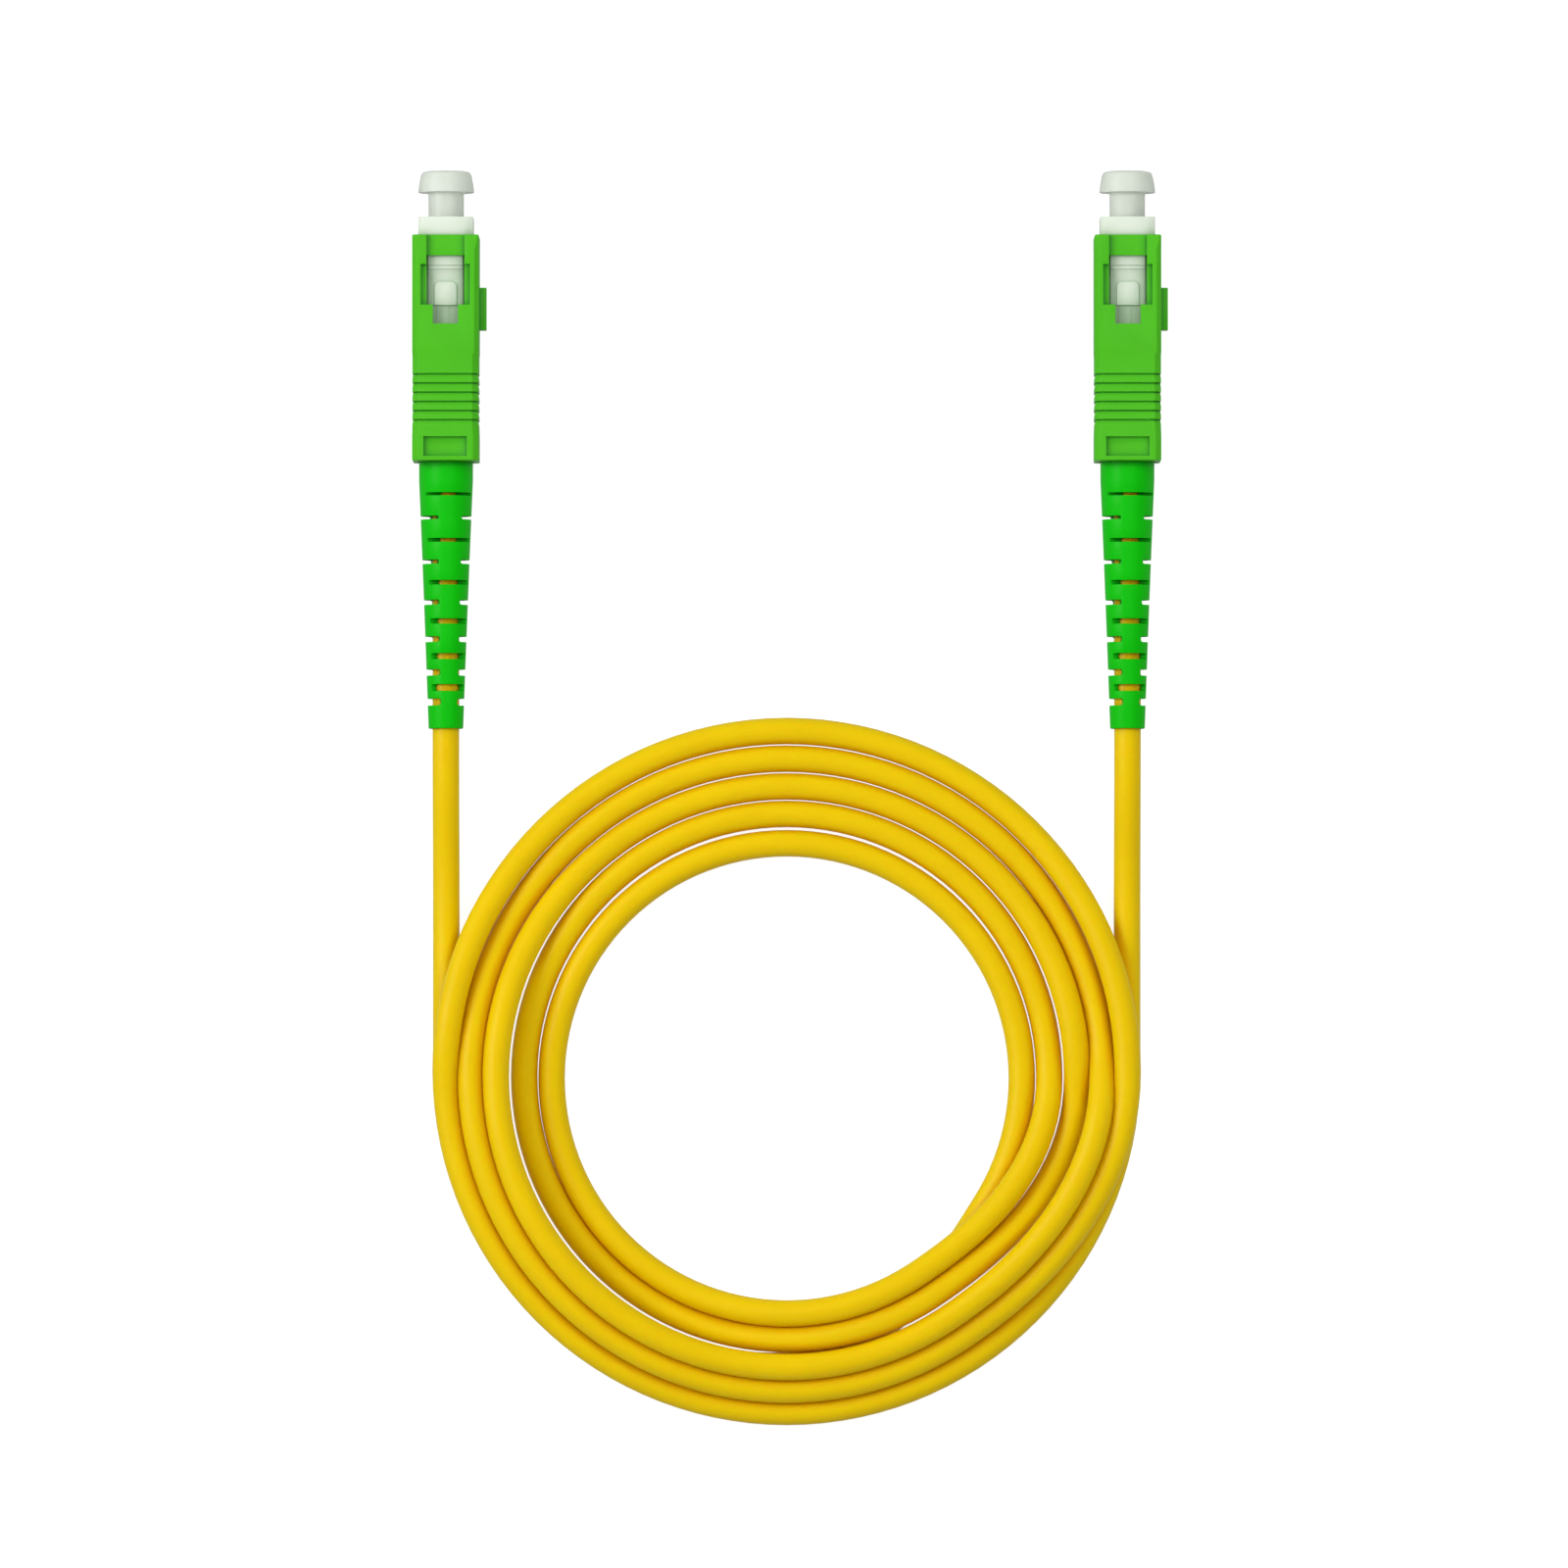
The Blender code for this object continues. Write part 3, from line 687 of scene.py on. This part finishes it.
def grooveRing(g):  # what one groove takes away: a sharp valley, then the long fall of the ridge behind it
    section = ((0.09, -0.05), (0.045, 1.0), (-0.045, 1.0), (-0.08, 0.6), (-0.35, 0.3), (-0.75, -0.05))
    made = bmesh.new()
    loops = []
    for step, share in section:
        face, side = share * g["grooveDepth"] * mm, share * g["sideGrooveDepth"] * mm
        halfW, halfH = g["width"] / 2 - side, g["height"] / 2 - face
        loops.append(outlineLoop(made, halfW, halfH, g["gripChamfer"], step * g["groovePitch"]))
    for step in (section[-1][0], section[0][0]):
        halfW, halfH = g["width"] / 2 + mm, g["height"] / 2 + mm
        loops.append(outlineLoop(made, halfW, halfH, g["gripChamfer"], step * g["groovePitch"]))
    joinLoops(made, loops, closed=True)
    return asObject("grooveRing", meshFrom("grooveRing", made))


def gripSkin(g):
    made = bmesh.new()
    loops = []
    for back, smaller, c in gripStations(g):
        loops.append(outlineLoop(made, g["width"] / 2 - smaller, g["height"] / 2 - smaller, c, -back))
    joinLoops(made, loops)
    made.faces.new(loops[0])
    made.faces.new(loops[-1][::-1])
    return asObject("gripSkin", meshFrom("gripSkin", made))


def boxMesh(name, boxes):  # separate boxes in one mesh, each from its lowest to its highest corner, in mm
    made = bmesh.new()
    for low, high in boxes:
        low, high = Vector(low) * mm, Vector(high) * mm
        move = Matrix.Translation((low + high) / 2) @ Matrix.Diagonal((*(high - low), 1.0))
        bmesh.ops.create_cube(made, size=1.0, matrix=move)
    return asObject(name, meshFrom(name, made))


def cut(obj, other, operation="DIFFERENCE"):
    modifier = obj.modifiers.new(other.name, "BOOLEAN")
    modifier.operation = operation
    modifier.solver = "EXACT"
    modifier.object = other
    return other


def settled(obj, tools, name, bevel, angle=32):  # cuts done, edges softened
    softened = obj.modifiers.new("softEdges", "BEVEL")
    softened.width = bevel
    softened.segments = 2
    softened.limit_method = "ANGLE"
    softened.angle_limit = math.radians(angle)
    mesh = plainMesh(obj, name)
    for tool in tools:
        bpy.data.objects.remove(tool, do_unlink=True)
    shadeByAngle(mesh, 35)
    return mesh


def bothFaces(boxes):  # the same boxes on the lower face
    return boxes + [((a[0], a[1], -b[2]), (b[0], b[1], -a[2])) for a, b in boxes]


def addGripHousings(g):
    skin = gripSkin(g)
    halfW, halfH = g["cavity"][0] / 2 / mm, g["cavity"][1] / 2 / mm
    back, top = g["length"] / mm, g["height"] / 2 / mm
    side = g["width"] / 2 / mm
    key, clear = g["key"], 9
    bar = ((side - key["rooted"], key["rear"], -key["half"]), (side + key["out"], key["front"], key["half"]))
    hollow = ((-halfW, -back + g["rearWall"] / mm, -halfH), (halfW, 1, halfH))
    tools = [cut(skin, boxMesh("keyBar", [bar]), "UNION"), cut(skin, boxMesh("cavity", [hollow]))]
    for name, (left, rear, right, front) in g["through"].items():
        tools.append(cut(skin, boxMesh(name, [((left, rear, -clear), (right, front, clear))])))
    for name, (left, rear, right, front, depth) in g["recesses"].items():
        boxes = bothFaces([((left, rear, top - depth), (right, front, clear))])
        tools.append(cut(skin, boxMesh(name, boxes)))
    made = bmesh.new()
    turn = Matrix.Rotation(math.radians(90), 4, "X")
    move = Matrix.Translation((0, -g["length"], 0)) @ turn
    bore = g["rearBoreR"]
    bmesh.ops.create_cone(
        made, cap_ends=True, segments=64, radius1=bore, radius2=bore, depth=6 * mm, matrix=move
    )
    tools.append(cut(skin, asObject("rearBore", meshFrom("rearBore", made))))
    mesh = settled(skin, tools, "gripHousing", g["bevel"])
    ring = grooveRing(g)
    row = {
        "Shape": ring,
        "Count": g["grooves"],
        "Start": (0.0, -g["firstGroove"], 0.0),
        "Step": (0.0, -g["groovePitch"], 0.0),
    }
    grooves = asObject("grooves", grown("grooves", repeatTree(), row, finishes["green_grip"]))
    bpy.data.objects.remove(ring, do_unlink=True)
    housing = asObject("housing", mesh)
    cut(housing, grooves)
    mesh = plainMesh(housing, "gripHousing")
    bpy.data.objects.remove(grooves, do_unlink=True)
    shadeByAngle(mesh, 30)
    placeBoth(mesh, "GripHousing", "{side}_grip", "grip_housing", "green_grip")
    print(f"grip housings, {len(mesh.polygons)} faces each")


addGripHousings(gripSizes)


# ---- plug frame: the off-white inner shell

frameSizes = {
    "width": 6.1,
    "height": 7.4,
    "front": 2.05,
    "rear": -16.0,
    "leftChamfer": (0.35, 0.35),
    "rightChamfer": (0.95, 0.4),
    "bevel": 0.06 * mm,
    "windowHalf": 1.93,
    # the floor of each window, (y, depth below the face): a lip, a hollow ramp, then the latch's bed
    "windowFloor": (
        (-2.2, 0.0), (-2.2, 0.15), (-3.34, 0.15), (-3.34, 0.27), (-3.76, 0.3), (-3.8, 0.4),
        (-4.2, 0.54), (-4.8, 0.62), (-5.4, 0.62), (-7.8, 0.58), (-7.84, 0.76), (-10.4, 0.76), (-10.4, 0.0),
    ),
    "gap": (0.5, 1.0),  # width and depth of the slot on each side of a window
    "tongueHalf": 1.22,
    "tongueDepth": 0.4,
    "tongueRoot": 1.2,
    "bed": (-1.0, 0.35, 0.7),  # left, right and depth, beside the tongue's root
    "bore": (  # (y, radius): wide behind, narrow at the flange's seat, wide round the ferrule
        (-6.2, 2.55), (-6.2, 1.6), (-5.4, 1.6), (-5.4, 2.3),
    ),
}


def closeBetween(made, ends):  # two matching outlines made one closed bar
    made.faces.new(ends[0])
    made.faces.new(ends[1][::-1])
    for i in range(len(ends[0])):
        j = (i + 1) % len(ends[0])
        made.faces.new((ends[0][i], ends[1][i], ends[1][j], ends[0][j]))


def barMesh(name, profile, halfWidth, top):  # (y, depth) profile drawn out across X, on both faces
    made = bmesh.new()
    for sign in (1, -1):
        ends = []
        for x in (-halfWidth, halfWidth):
            ends.append([made.verts.new((x * mm, y * mm, sign * (top - depth) * mm)) for y, depth in profile])
        closeBetween(made, ends)
    return asObject(name, meshFrom(name, made))


def slabMesh(name, outline, low, high):  # an (x, y) outline drawn out in Z, on both faces
    made = bmesh.new()
    for sign in (1, -1):
        ends = [[made.verts.new((x * mm, y * mm, sign * z * mm)) for x, y in outline] for z in (low, high)]
        closeBetween(made, ends)
    return asObject(name, meshFrom(name, made))


def addPlugFrames(p):
    made = bmesh.new()
    halfW, halfH = p["width"] / 2, p["height"] / 2
    (lx, lz), (rx, rz) = p["leftChamfer"], p["rightChamfer"]
    corners = (
        (halfW, halfH - rz), (halfW - rx, halfH), (-halfW + lx, halfH), (-halfW, halfH - lz),
        (-halfW, -halfH + lz), (-halfW + lx, -halfH), (halfW - rx, -halfH), (halfW, -halfH + rz),
    )
    loops = []
    for y in (p["front"], p["rear"]):
        loops.append([made.verts.new((x * mm, y * mm, z * mm)) for x, z in corners])
    joinLoops(made, loops)
    made.faces.new(loops[0])
    made.faces.new(loops[-1][::-1])
    body = asObject("plugFrameBody", meshFrom("plugFrameBody", made))
    top = p["height"] / 2
    steps = p["bore"]
    behind, before = p["rear"] - 1, p["front"] + 1
    outline = [(behind, 0.0), (behind, steps[0][1]), *steps, (before, steps[-1][1]), (before, 0.0)]
    bore = turnedMesh("frameBore", [(y * mm, r * mm) for y, r in outline], radius=0)
    half, (gapWidth, gapDepth) = p["windowHalf"], p["gap"]
    floor = [(y, depth if depth else -1.0) for y, depth in p["windowFloor"]]
    gaps = bothFaces(
        [((x, -8.2, top - gapDepth), (x + gapWidth, -2.2, top + 1)) for x in (half, -half - gapWidth)]
    )
    t, (bedLeft, bedRight, bedDepth) = p["tongueHalf"], p["bed"]
    bed = bothFaces([((bedLeft, -10.5, top - 1.1), (bedRight, -7.7, top - bedDepth))])
    tongue = [
        (-t, -7.8), (-t, -5.7), (-t + 0.12, -5.4), (-t + 0.4, -5.2),
        (t - 0.4, -5.2), (t - 0.12, -5.4), (t, -5.7), (t, -7.8),
    ]
    tools = [
        cut(body, barMesh("windowFloor", floor, half, top)),
        cut(body, boxMesh("windowGaps", gaps)),
        cut(body, asObject("frameBore", bore)),
        cut(body, slabMesh("tongue", tongue, top - p["tongueRoot"], top - p["tongueDepth"]), "UNION"),
        cut(body, boxMesh("bed", bed), "UNION"),
    ]
    mesh = settled(body, tools, "plugFrame", p["bevel"])
    placeBoth(mesh, "PlugFrame", "root", "plug_frame", "off_white_frame")
    print(f"plug frames, {len(mesh.polygons)} faces each")


addPlugFrames(frameSizes)


# ---- boot: tapered, with slots on alternate sides

bootSizes = {
    "front": -18.0 * mm,
    "collarRear": -27.2 * mm,
    "rear": -54.8 * mm,
    "collarR": 3.0 * mm,
    "endR": 1.93 * mm,
    "crimpBoreR": 2.5 * mm,
    "cordBoreR": 1.6 * mm,
    "boreStep": -27.5 * mm,  # from the crimp's bore to the cord's
    "bevel": 0.12 * mm,
    "slots": {
        "Slots": 12,
        "First": -28.75 * mm,
        "Last": -51.85 * mm,
        "Crowding": 0.265,  # how much wider the first gaps are than even ones
        "First Width": 0.34 * mm,
        "Last Width": 0.78 * mm,
        "First Web": 1.34 * mm,  # from the boot's middle to the slot's floor
        "Last Web": 0.9 * mm,
        "Turn": math.radians(12.5),
    },
}


def bootRadius(b, y):
    share = min(max((b["collarRear"] - y) / (b["collarRear"] - b["rear"]), 0.0), 1.0)
    return b["collarR"] + (b["endR"] - b["collarR"]) * (1.1 * share - 0.1 * share * share)


def slotTree():  # pairs of round-nosed cutters down the boot, each a quarter turn on, closer to the rear
    kinds = {name: "Float" for name in bootSizes["slots"]}
    tree, sizes = newTree("bootSlots", {**kinds, "Slots": "Int"})
    index = addNode(tree, "GeometryNodeInputIndex").outputs[0]
    final = addNode(tree, "ShaderNodeMath", {0: sizes["Slots"], 1: 1.0}, operation="SUBTRACT")
    share = addNode(tree, "ShaderNodeMath", {0: index, 1: final.outputs[0]}, operation="DIVIDE").outputs[0]
    ahead = addNode(tree, "ShaderNodeMath", {0: 1.0, 1: share}, operation="SUBTRACT").outputs[0]
    stretch = addNode(
        tree, "ShaderNodeMath", {0: sizes["Crowding"], 1: ahead, 2: 1.0}, operation="MULTIPLY_ADD"
    )
    along = addNode(tree, "ShaderNodeMath", {0: share, 1: stretch.outputs[0]}, operation="MULTIPLY")
    y, width, web = [
        addNode(
            tree,
            "ShaderNodeMapRange",
            {"Value": value, "To Min": sizes[f"First{size}"], "To Max": sizes[f"Last{size}"]},
            clamp=False,
        ).outputs[0]
        for size, value in (("", along.outputs[0]), (" Width", share), (" Web", share))
    ]
    odd = addNode(tree, "ShaderNodeMath", {0: index, 1: 2.0}, operation="MODULO").outputs[0]
    turn = addNode(
        tree, "ShaderNodeMath", {0: odd, 1: math.pi / 2, 2: sizes["Turn"]}, operation="MULTIPLY_ADD"
    ).outputs[0]
    row = addNode(tree, "GeometryNodeMeshLine", {"Count": sizes["Slots"], "Offset": (0.0, 0.0, 0.0)})
    halfLength = 4.0 * mm
    height, nose = 12.0, 0.42  # in slot widths
    line = addNode(
        tree, "GeometryNodeCurvePrimitiveLine", {"Start": (-halfLength, 0, 0), "End": (halfLength, 0, 0)}
    )
    square = addNode(tree, "GeometryNodeCurvePrimitiveQuadrilateral", {"Width": 1.0, "Height": height})
    section = addNode(
        tree, "GeometryNodeFilletCurve", {"Curve": square.outputs[0], "Count": 5, "Radius": nose}, mode="POLY"
    )
    cutter = addNode(
        tree,
        "GeometryNodeCurveToMesh",
        {"Curve": line.outputs["Curve"], "Profile Curve": section.outputs[0], "Fill Caps": True},
    )
    rotation = addNode(tree, "ShaderNodeCombineXYZ", {"Y": turn})
    scale = addNode(tree, "ShaderNodeCombineXYZ", {"X": 1.0, "Y": width, "Z": width})
    both = addNode(tree, "GeometryNodeJoinGeometry")
    for sign in (1, -1):
        out = addNode(tree, "ShaderNodeMath", {0: web, 1: float(sign)}, operation="MULTIPLY")
        floor = addNode(tree, "ShaderNodeCombineXYZ", {"Y": y, "Z": out.outputs[0]})
        spot = addNode(
            tree, "ShaderNodeVectorRotate", {"Vector": floor.outputs[0], "Axis": (0, 1, 0), "Angle": turn}
        )
        placed = addNode(
            tree, "GeometryNodeSetPosition", {"Geometry": row.outputs["Mesh"], "Position": spot.outputs[0]}
        )
        move = {"Geometry": cutter.outputs[0], "Translation": (0.0, 0.0, sign * height / 2)}
        copies = addNode(
            tree,
            "GeometryNodeInstanceOnPoints",
            {
                "Points": placed.outputs["Geometry"],
                "Instance": addNode(tree, "GeometryNodeTransform", move).outputs["Geometry"],
                "Rotation": rotation.outputs[0],
                "Scale": scale.outputs[0],
            },
        )
        tree.links.new(copies.outputs["Instances"], both.inputs["Geometry"])
    return finishTree(tree, both.outputs["Geometry"], sizes)


def addBoots(b):
    outline = [(b["front"], b["crimpBoreR"]), (b["front"], b["collarR"], 0.2 * mm)]
    for y in np.linspace(b["collarRear"], b["rear"], 12):
        outline.append((float(y), bootRadius(b, y), 0.15 * mm if y == b["rear"] else 0.0))
    step = b["boreStep"]
    outline += [(b["rear"], b["cordBoreR"], 0.1 * mm), (step, b["cordBoreR"]), (step, b["crimpBoreR"])]
    body = asObject("bootBody", turnedMesh("bootBody", outline[::-1]))
    slots = asObject("bootSlots", grown("bootSlots", slotTree(), b["slots"], finishes["green_boot"]))
    cut(body, slots)
    mesh = settled(body, [slots], "boot", b["bevel"], 40)
    placeBoth(mesh, "Boot", "root", "boot", "green_boot")
    print(f"boots, {len(mesh.polygons)} faces each")


addBoots(bootSizes)


# ---- turned pieces: cap, ferrule and what is inside

turnedPieces = {
    "DustCap": {
        "node": "dust_cap", "slot": "clear_cap", "body": "{side}_cap", "radius": 0.12,
        "outline": (
            (-1.6, 1.4), (-1.6, 1.98), (4.95, 1.98, 0.2), (4.85, 2.95, 0.1), (4.85, 3.1, 0.1),
            (5.15, 3.1, 0.15), (6.4, 2.92, 0.5), (7.15, 2.72, 0.45), (7.3, 1.9, 0.6), (7.3, 0.0),
            (4.2, 0.0), (4.2, 1.4),
        ),
    },
    "FerruleFlange": {
        "node": "ferrule_flange", "slot": "nickelled_brass", "body": "{side}_float", "radius": 0.08,
        "outline": (
            (-11.4, 0.6), (-11.4, 1.2), (-8.5, 1.2), (-8.5, 2.2), (-6.5, 2.2), (-6.5, 1.35),
            (-7.6, 1.35), (-7.6, 0.6),
        ),
    },
    "Ferrule": {
        "node": "ferrule", "slot": "zirconia", "body": "{side}_float", "radius": 0.05,
        "polish": 8,  # degrees that the end face leans
        "outline": ((-7.4, 0.2), (-7.4, 1.25), (2.5, 1.25, 0.1), (3.0, 0.9, 0.1), (3.0, 0.2, 0.0)),
    },
    "StopBody": {
        "node": "stop_body", "slot": "nickelled_brass", "body": "root", "radius": 0.08,
        "outline": (
            (-24.0, 0.75), (-24.0, 1.7), (-17.4, 1.7), (-17.4, 2.9), (-16.2, 2.9), (-16.2, 2.35),
            (-13.4, 2.35), (-13.4, 0.75),
        ),
    },
    "CrimpSleeve": {
        "node": "crimp_sleeve", "slot": "crimp_metal", "body": "root", "radius": 0.05,
        "outline": ((-26.4, 2.05), (-26.4, 2.35), (-18.0, 2.35), (-18.0, 2.05)),
    },
    "BufferedFibre": {
        "node": "buffered_fibre", "slot": "white_buffer", "body": "{side}_float", "radius": 0.05,
        "outline": ((-26.0, 0.0), (-26.0, 0.45), (-11.7, 0.45), (-11.7, 0.0)),
    },
}


def addTurnedPieces():
    for name, piece in turnedPieces.items():
        outline = [tuple(size * mm for size in corner) for corner in piece["outline"]]
        mesh = turnedMesh(name, outline, radius=piece["radius"] * mm)
        if "polish" in piece:
            slope = math.tan(math.radians(piece["polish"]))
            radius = piece["outline"][1][1] * mm
            for vertex in mesh.vertices:
                if vertex.co.y > 0:
                    vertex.co.y -= (radius + vertex.co.x) * slope
        placeBoth(mesh, name, piece["body"], piece["node"], piece["slot"])
    print("turned pieces made")


addTurnedPieces()


# ---- the jacket's end inside each boot

jacketEndSizes = {
    "front": 27.5,  # mm back from the front edge of the grip housing
    "rear": 54.55,
    "steps": 20,
    "roundSteps": 32,
}


def addJacketEnds(e):
    for side in sides:
        at = plugPlaces[side]
        backs = np.linspace(e["front"], e["rear"], e["steps"])
        path = [(at.x, at.y - back * mm, at.z) for back in backs]
        tube = tubeMesh("jacketEnd", path, cordSizes["diameter"] / 2, e["roundSteps"])
        obj = asObject(f"{side}JacketEnd", tube)
        obj.data.materials.append(finishes["yellow_jacket"])
        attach(obj, "root")
        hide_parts(f"{side}_cord_jacket_end")
    print("jacket ends laid")


addJacketEnds(jacketEndSizes)


# ---- spring, wound by a node tree

springSizes = {
    "wound": {"Coil Radius": 1.75 * mm, "Wire Radius": 0.22 * mm, "Turns": 5.0, "Length": 3.9 * mm},
    "front": -8.97 * mm,
    "seat": -13.1 * mm,  # its back end, which stays where it is
    "keep": 0.76,  # of its length, with the ferrule pressed back
}


def springTree():
    tree, sizes = newTree("woundSpring", {name: "Float" for name in springSizes["wound"]})
    spiral = addNode(
        tree,
        "GeometryNodeCurveSpiral",
        {
            "Resolution": 32,
            "Rotations": sizes["Turns"],
            "Start Radius": sizes["Coil Radius"],
            "End Radius": sizes["Coil Radius"],
            "Height": sizes["Length"],
        },
    )
    wire = addNode(
        tree, "GeometryNodeCurvePrimitiveCircle", {"Resolution": 12, "Radius": sizes["Wire Radius"]}
    )
    wound = addNode(
        tree,
        "GeometryNodeCurveToMesh",
        {"Curve": spiral.outputs["Curve"], "Profile Curve": wire.outputs["Curve"], "Fill Caps": True},
    )
    laid = addNode(
        tree, "GeometryNodeTransform", {"Geometry": wound.outputs[0], "Rotation": (math.radians(90), 0, 0)}
    )
    return finishTree(tree, laid.outputs[0], sizes)


def addSprings(s):
    mesh = grown("spring", springTree(), s["wound"], finishes["spring_steel"])
    mesh.transform(Matrix.Translation((0, s["front"], 0)))
    mesh.shade_smooth()
    for side in sides:
        obj = place(mesh, "Spring", side, "root", "ferrule_spring", "spring_steel")
        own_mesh(obj)
    print("springs wound")


addSprings(springSizes)


# ---- aramid yarn, folded back over the stop body's neck: strands laid round it by a node tree

yarnSizes = {
    "Strands": 54,
    "Radius": 1.875 * mm,
    "Strand Radius": 0.075 * mm,
    "Front": -18.25 * mm,
    "Rear": -27.15 * mm,
    "Twist": 0.5,
    "Stray": 0.03,
}


def yarnTree():
    kinds = {name: "Float" for name in yarnSizes}
    tree, sizes = newTree("yarn", {**kinds, "Strands": "Int"})
    front = addNode(tree, "ShaderNodeCombineXYZ", {"Y": sizes["Front"]})
    rear = addNode(tree, "ShaderNodeCombineXYZ", {"Y": sizes["Rear"]})
    line = addNode(
        tree, "GeometryNodeCurvePrimitiveLine", {"Start": front.outputs[0], "End": rear.outputs[0]}
    )
    fine = addNode(tree, "GeometryNodeResampleCurve", {"Curve": line.outputs["Curve"], "Count": 14})
    share = addNode(tree, "GeometryNodeSplineParameter").outputs["Factor"]
    outwards = addNode(tree, "ShaderNodeCombineXYZ", {"X": sizes["Radius"]})
    here = addNode(tree, "GeometryNodeInputPosition")
    moved = addNode(
        tree, "ShaderNodeVectorMath", {0: here.outputs[0], 1: outwards.outputs[0]}, operation="ADD"
    )
    lean = addNode(tree, "ShaderNodeMath", {0: share, 1: sizes["Twist"]}, operation="MULTIPLY")
    turned = addNode(
        tree,
        "ShaderNodeVectorRotate",
        {"Vector": moved.outputs[0], "Axis": (0.0, 1.0, 0.0), "Angle": lean.outputs[0]},
    )
    strand = addNode(
        tree, "GeometryNodeSetPosition", {"Geometry": fine.outputs["Curve"], "Position": turned.outputs[0]}
    )
    row = addNode(tree, "GeometryNodeMeshLine", {"Count": sizes["Strands"], "Offset": (0.0, 0.0, 0.0)})
    index = addNode(tree, "GeometryNodeInputIndex").outputs[0]
    stray = addNode(tree, "FunctionNodeRandomValue", {2: -1.0, 3: 1.0, "Seed": 7}, data_type="FLOAT")
    offset = addNode(tree, "ShaderNodeMath", {0: stray.outputs[1], 1: sizes["Stray"]}, operation="MULTIPLY")
    circle = addNode(tree, "ShaderNodeMath", {0: index, 1: sizes["Strands"]}, operation="DIVIDE")
    turn = addNode(
        tree,
        "ShaderNodeMath",
        {0: circle.outputs[0], 1: 2 * math.pi, 2: offset.outputs[0]},
        operation="MULTIPLY_ADD",
    )
    rotation = addNode(tree, "ShaderNodeCombineXYZ", {"Y": turn.outputs[0]})
    laid = addNode(
        tree,
        "GeometryNodeInstanceOnPoints",
        {
            "Points": row.outputs["Mesh"],
            "Instance": strand.outputs["Geometry"],
            "Rotation": rotation.outputs[0],
        },
    )
    real = addNode(tree, "GeometryNodeRealizeInstances", {"Geometry": laid.outputs["Instances"]})
    section = addNode(
        tree, "GeometryNodeCurvePrimitiveCircle", {"Resolution": 6, "Radius": sizes["Strand Radius"]}
    )
    solid = addNode(
        tree,
        "GeometryNodeCurveToMesh",
        {"Curve": real.outputs[0], "Profile Curve": section.outputs["Curve"], "Fill Caps": True},
    )
    return finishTree(tree, solid.outputs[0], sizes)


def addYarn(y):
    mesh = grown("aramidYarn", yarnTree(), y, finishes["aramid_yarn"])
    mesh.shade_smooth()
    placeBoth(mesh, "AramidYarn", "root", "aramid_yarn", "aramid_yarn")
    print("yarn laid")


addYarn(yarnSizes)


# ---- table and light

lighting = {
    "zenith": 0.25,
    "horizon": 0.5,
    "table": {"glow": 0.85, "size": 1.5, "height": -0.02 * mm},
    "middle": (0, -0.037, 0),  # what the lamps point at
    # where each lamp stands, its width, its power, and whether it shows in gloss
    "lamps": {
        "key": ((-0.85, 0.2, 0.8), 0.6, 6.8, True),
        "fill": ((0.3, 0.25, 1.15), 1.0, 7.2, False),
    },
}


def addTable(t):
    made = bmesh.new()
    bmesh.ops.create_grid(made, x_segments=1, y_segments=1, size=t["size"])
    mesh = bpy.data.meshes.new("table")
    made.to_mesh(mesh)
    made.free()
    table = asObject("table", mesh)
    table.location.z = t["height"]
    shader = {"Base Color": hexColour("#A0A0A0"), "Roughness": 0.9, "Specular IOR Level": 0.0}
    glow = {"Emission Color": hexColour("#FFFFFF"), "Emission Strength": t["glow"]}
    mesh.materials.append(newMaterial("whiteTable", {**shader, **glow})[0])  # back-lit white acrylic
    table.visible_glossy = False  # as through a polarising filter
    table.visible_diffuse = False  # so that it throws no glare up under the pieces


def addLight(name, stand, size, power, glossy, aim):
    data = bpy.data.lights.new(name, "AREA")
    data.shape = "SQUARE"
    data.size = size
    data.energy = power
    light = bpy.data.objects.new(name, data)
    light.location = stand
    light.rotation_euler = (Vector(aim) - Vector(stand)).to_track_quat("-Z", "Y").to_euler()
    light.visible_glossy = glossy
    bpy.context.scene.collection.objects.link(light)


def addWorld(zenith, horizon):  # a room that is bright round the table and dim overhead
    world = bpy.data.worlds.new("studio")
    world.use_nodes = True
    tree = world.node_tree
    direction = addNode(tree, "ShaderNodeTexCoord").outputs["Generated"]
    height = addNode(tree, "ShaderNodeSeparateXYZ", {"Vector": direction}).outputs["Z"]
    strength = addNode(
        tree,
        "ShaderNodeMapRange",
        {"Value": height, "From Min": 0.0, "From Max": 0.8, "To Min": horizon, "To Max": zenith},
        interpolation_type="SMOOTHSTEP",
    )
    background = tree.nodes["Background"]
    background.inputs["Color"].default_value = hexColour("#FFFFFF")
    tree.links.new(strength.outputs[0], background.inputs["Strength"])
    bpy.context.scene.world = world


bpy.context.scene.view_settings.view_transform = "Standard"
addTable(lighting["table"])
addWorld(lighting["zenith"], lighting["horizon"])
for name, lamp in lighting["lamps"].items():
    addLight(name, *lamp, lighting["middle"])
print("studio lit")
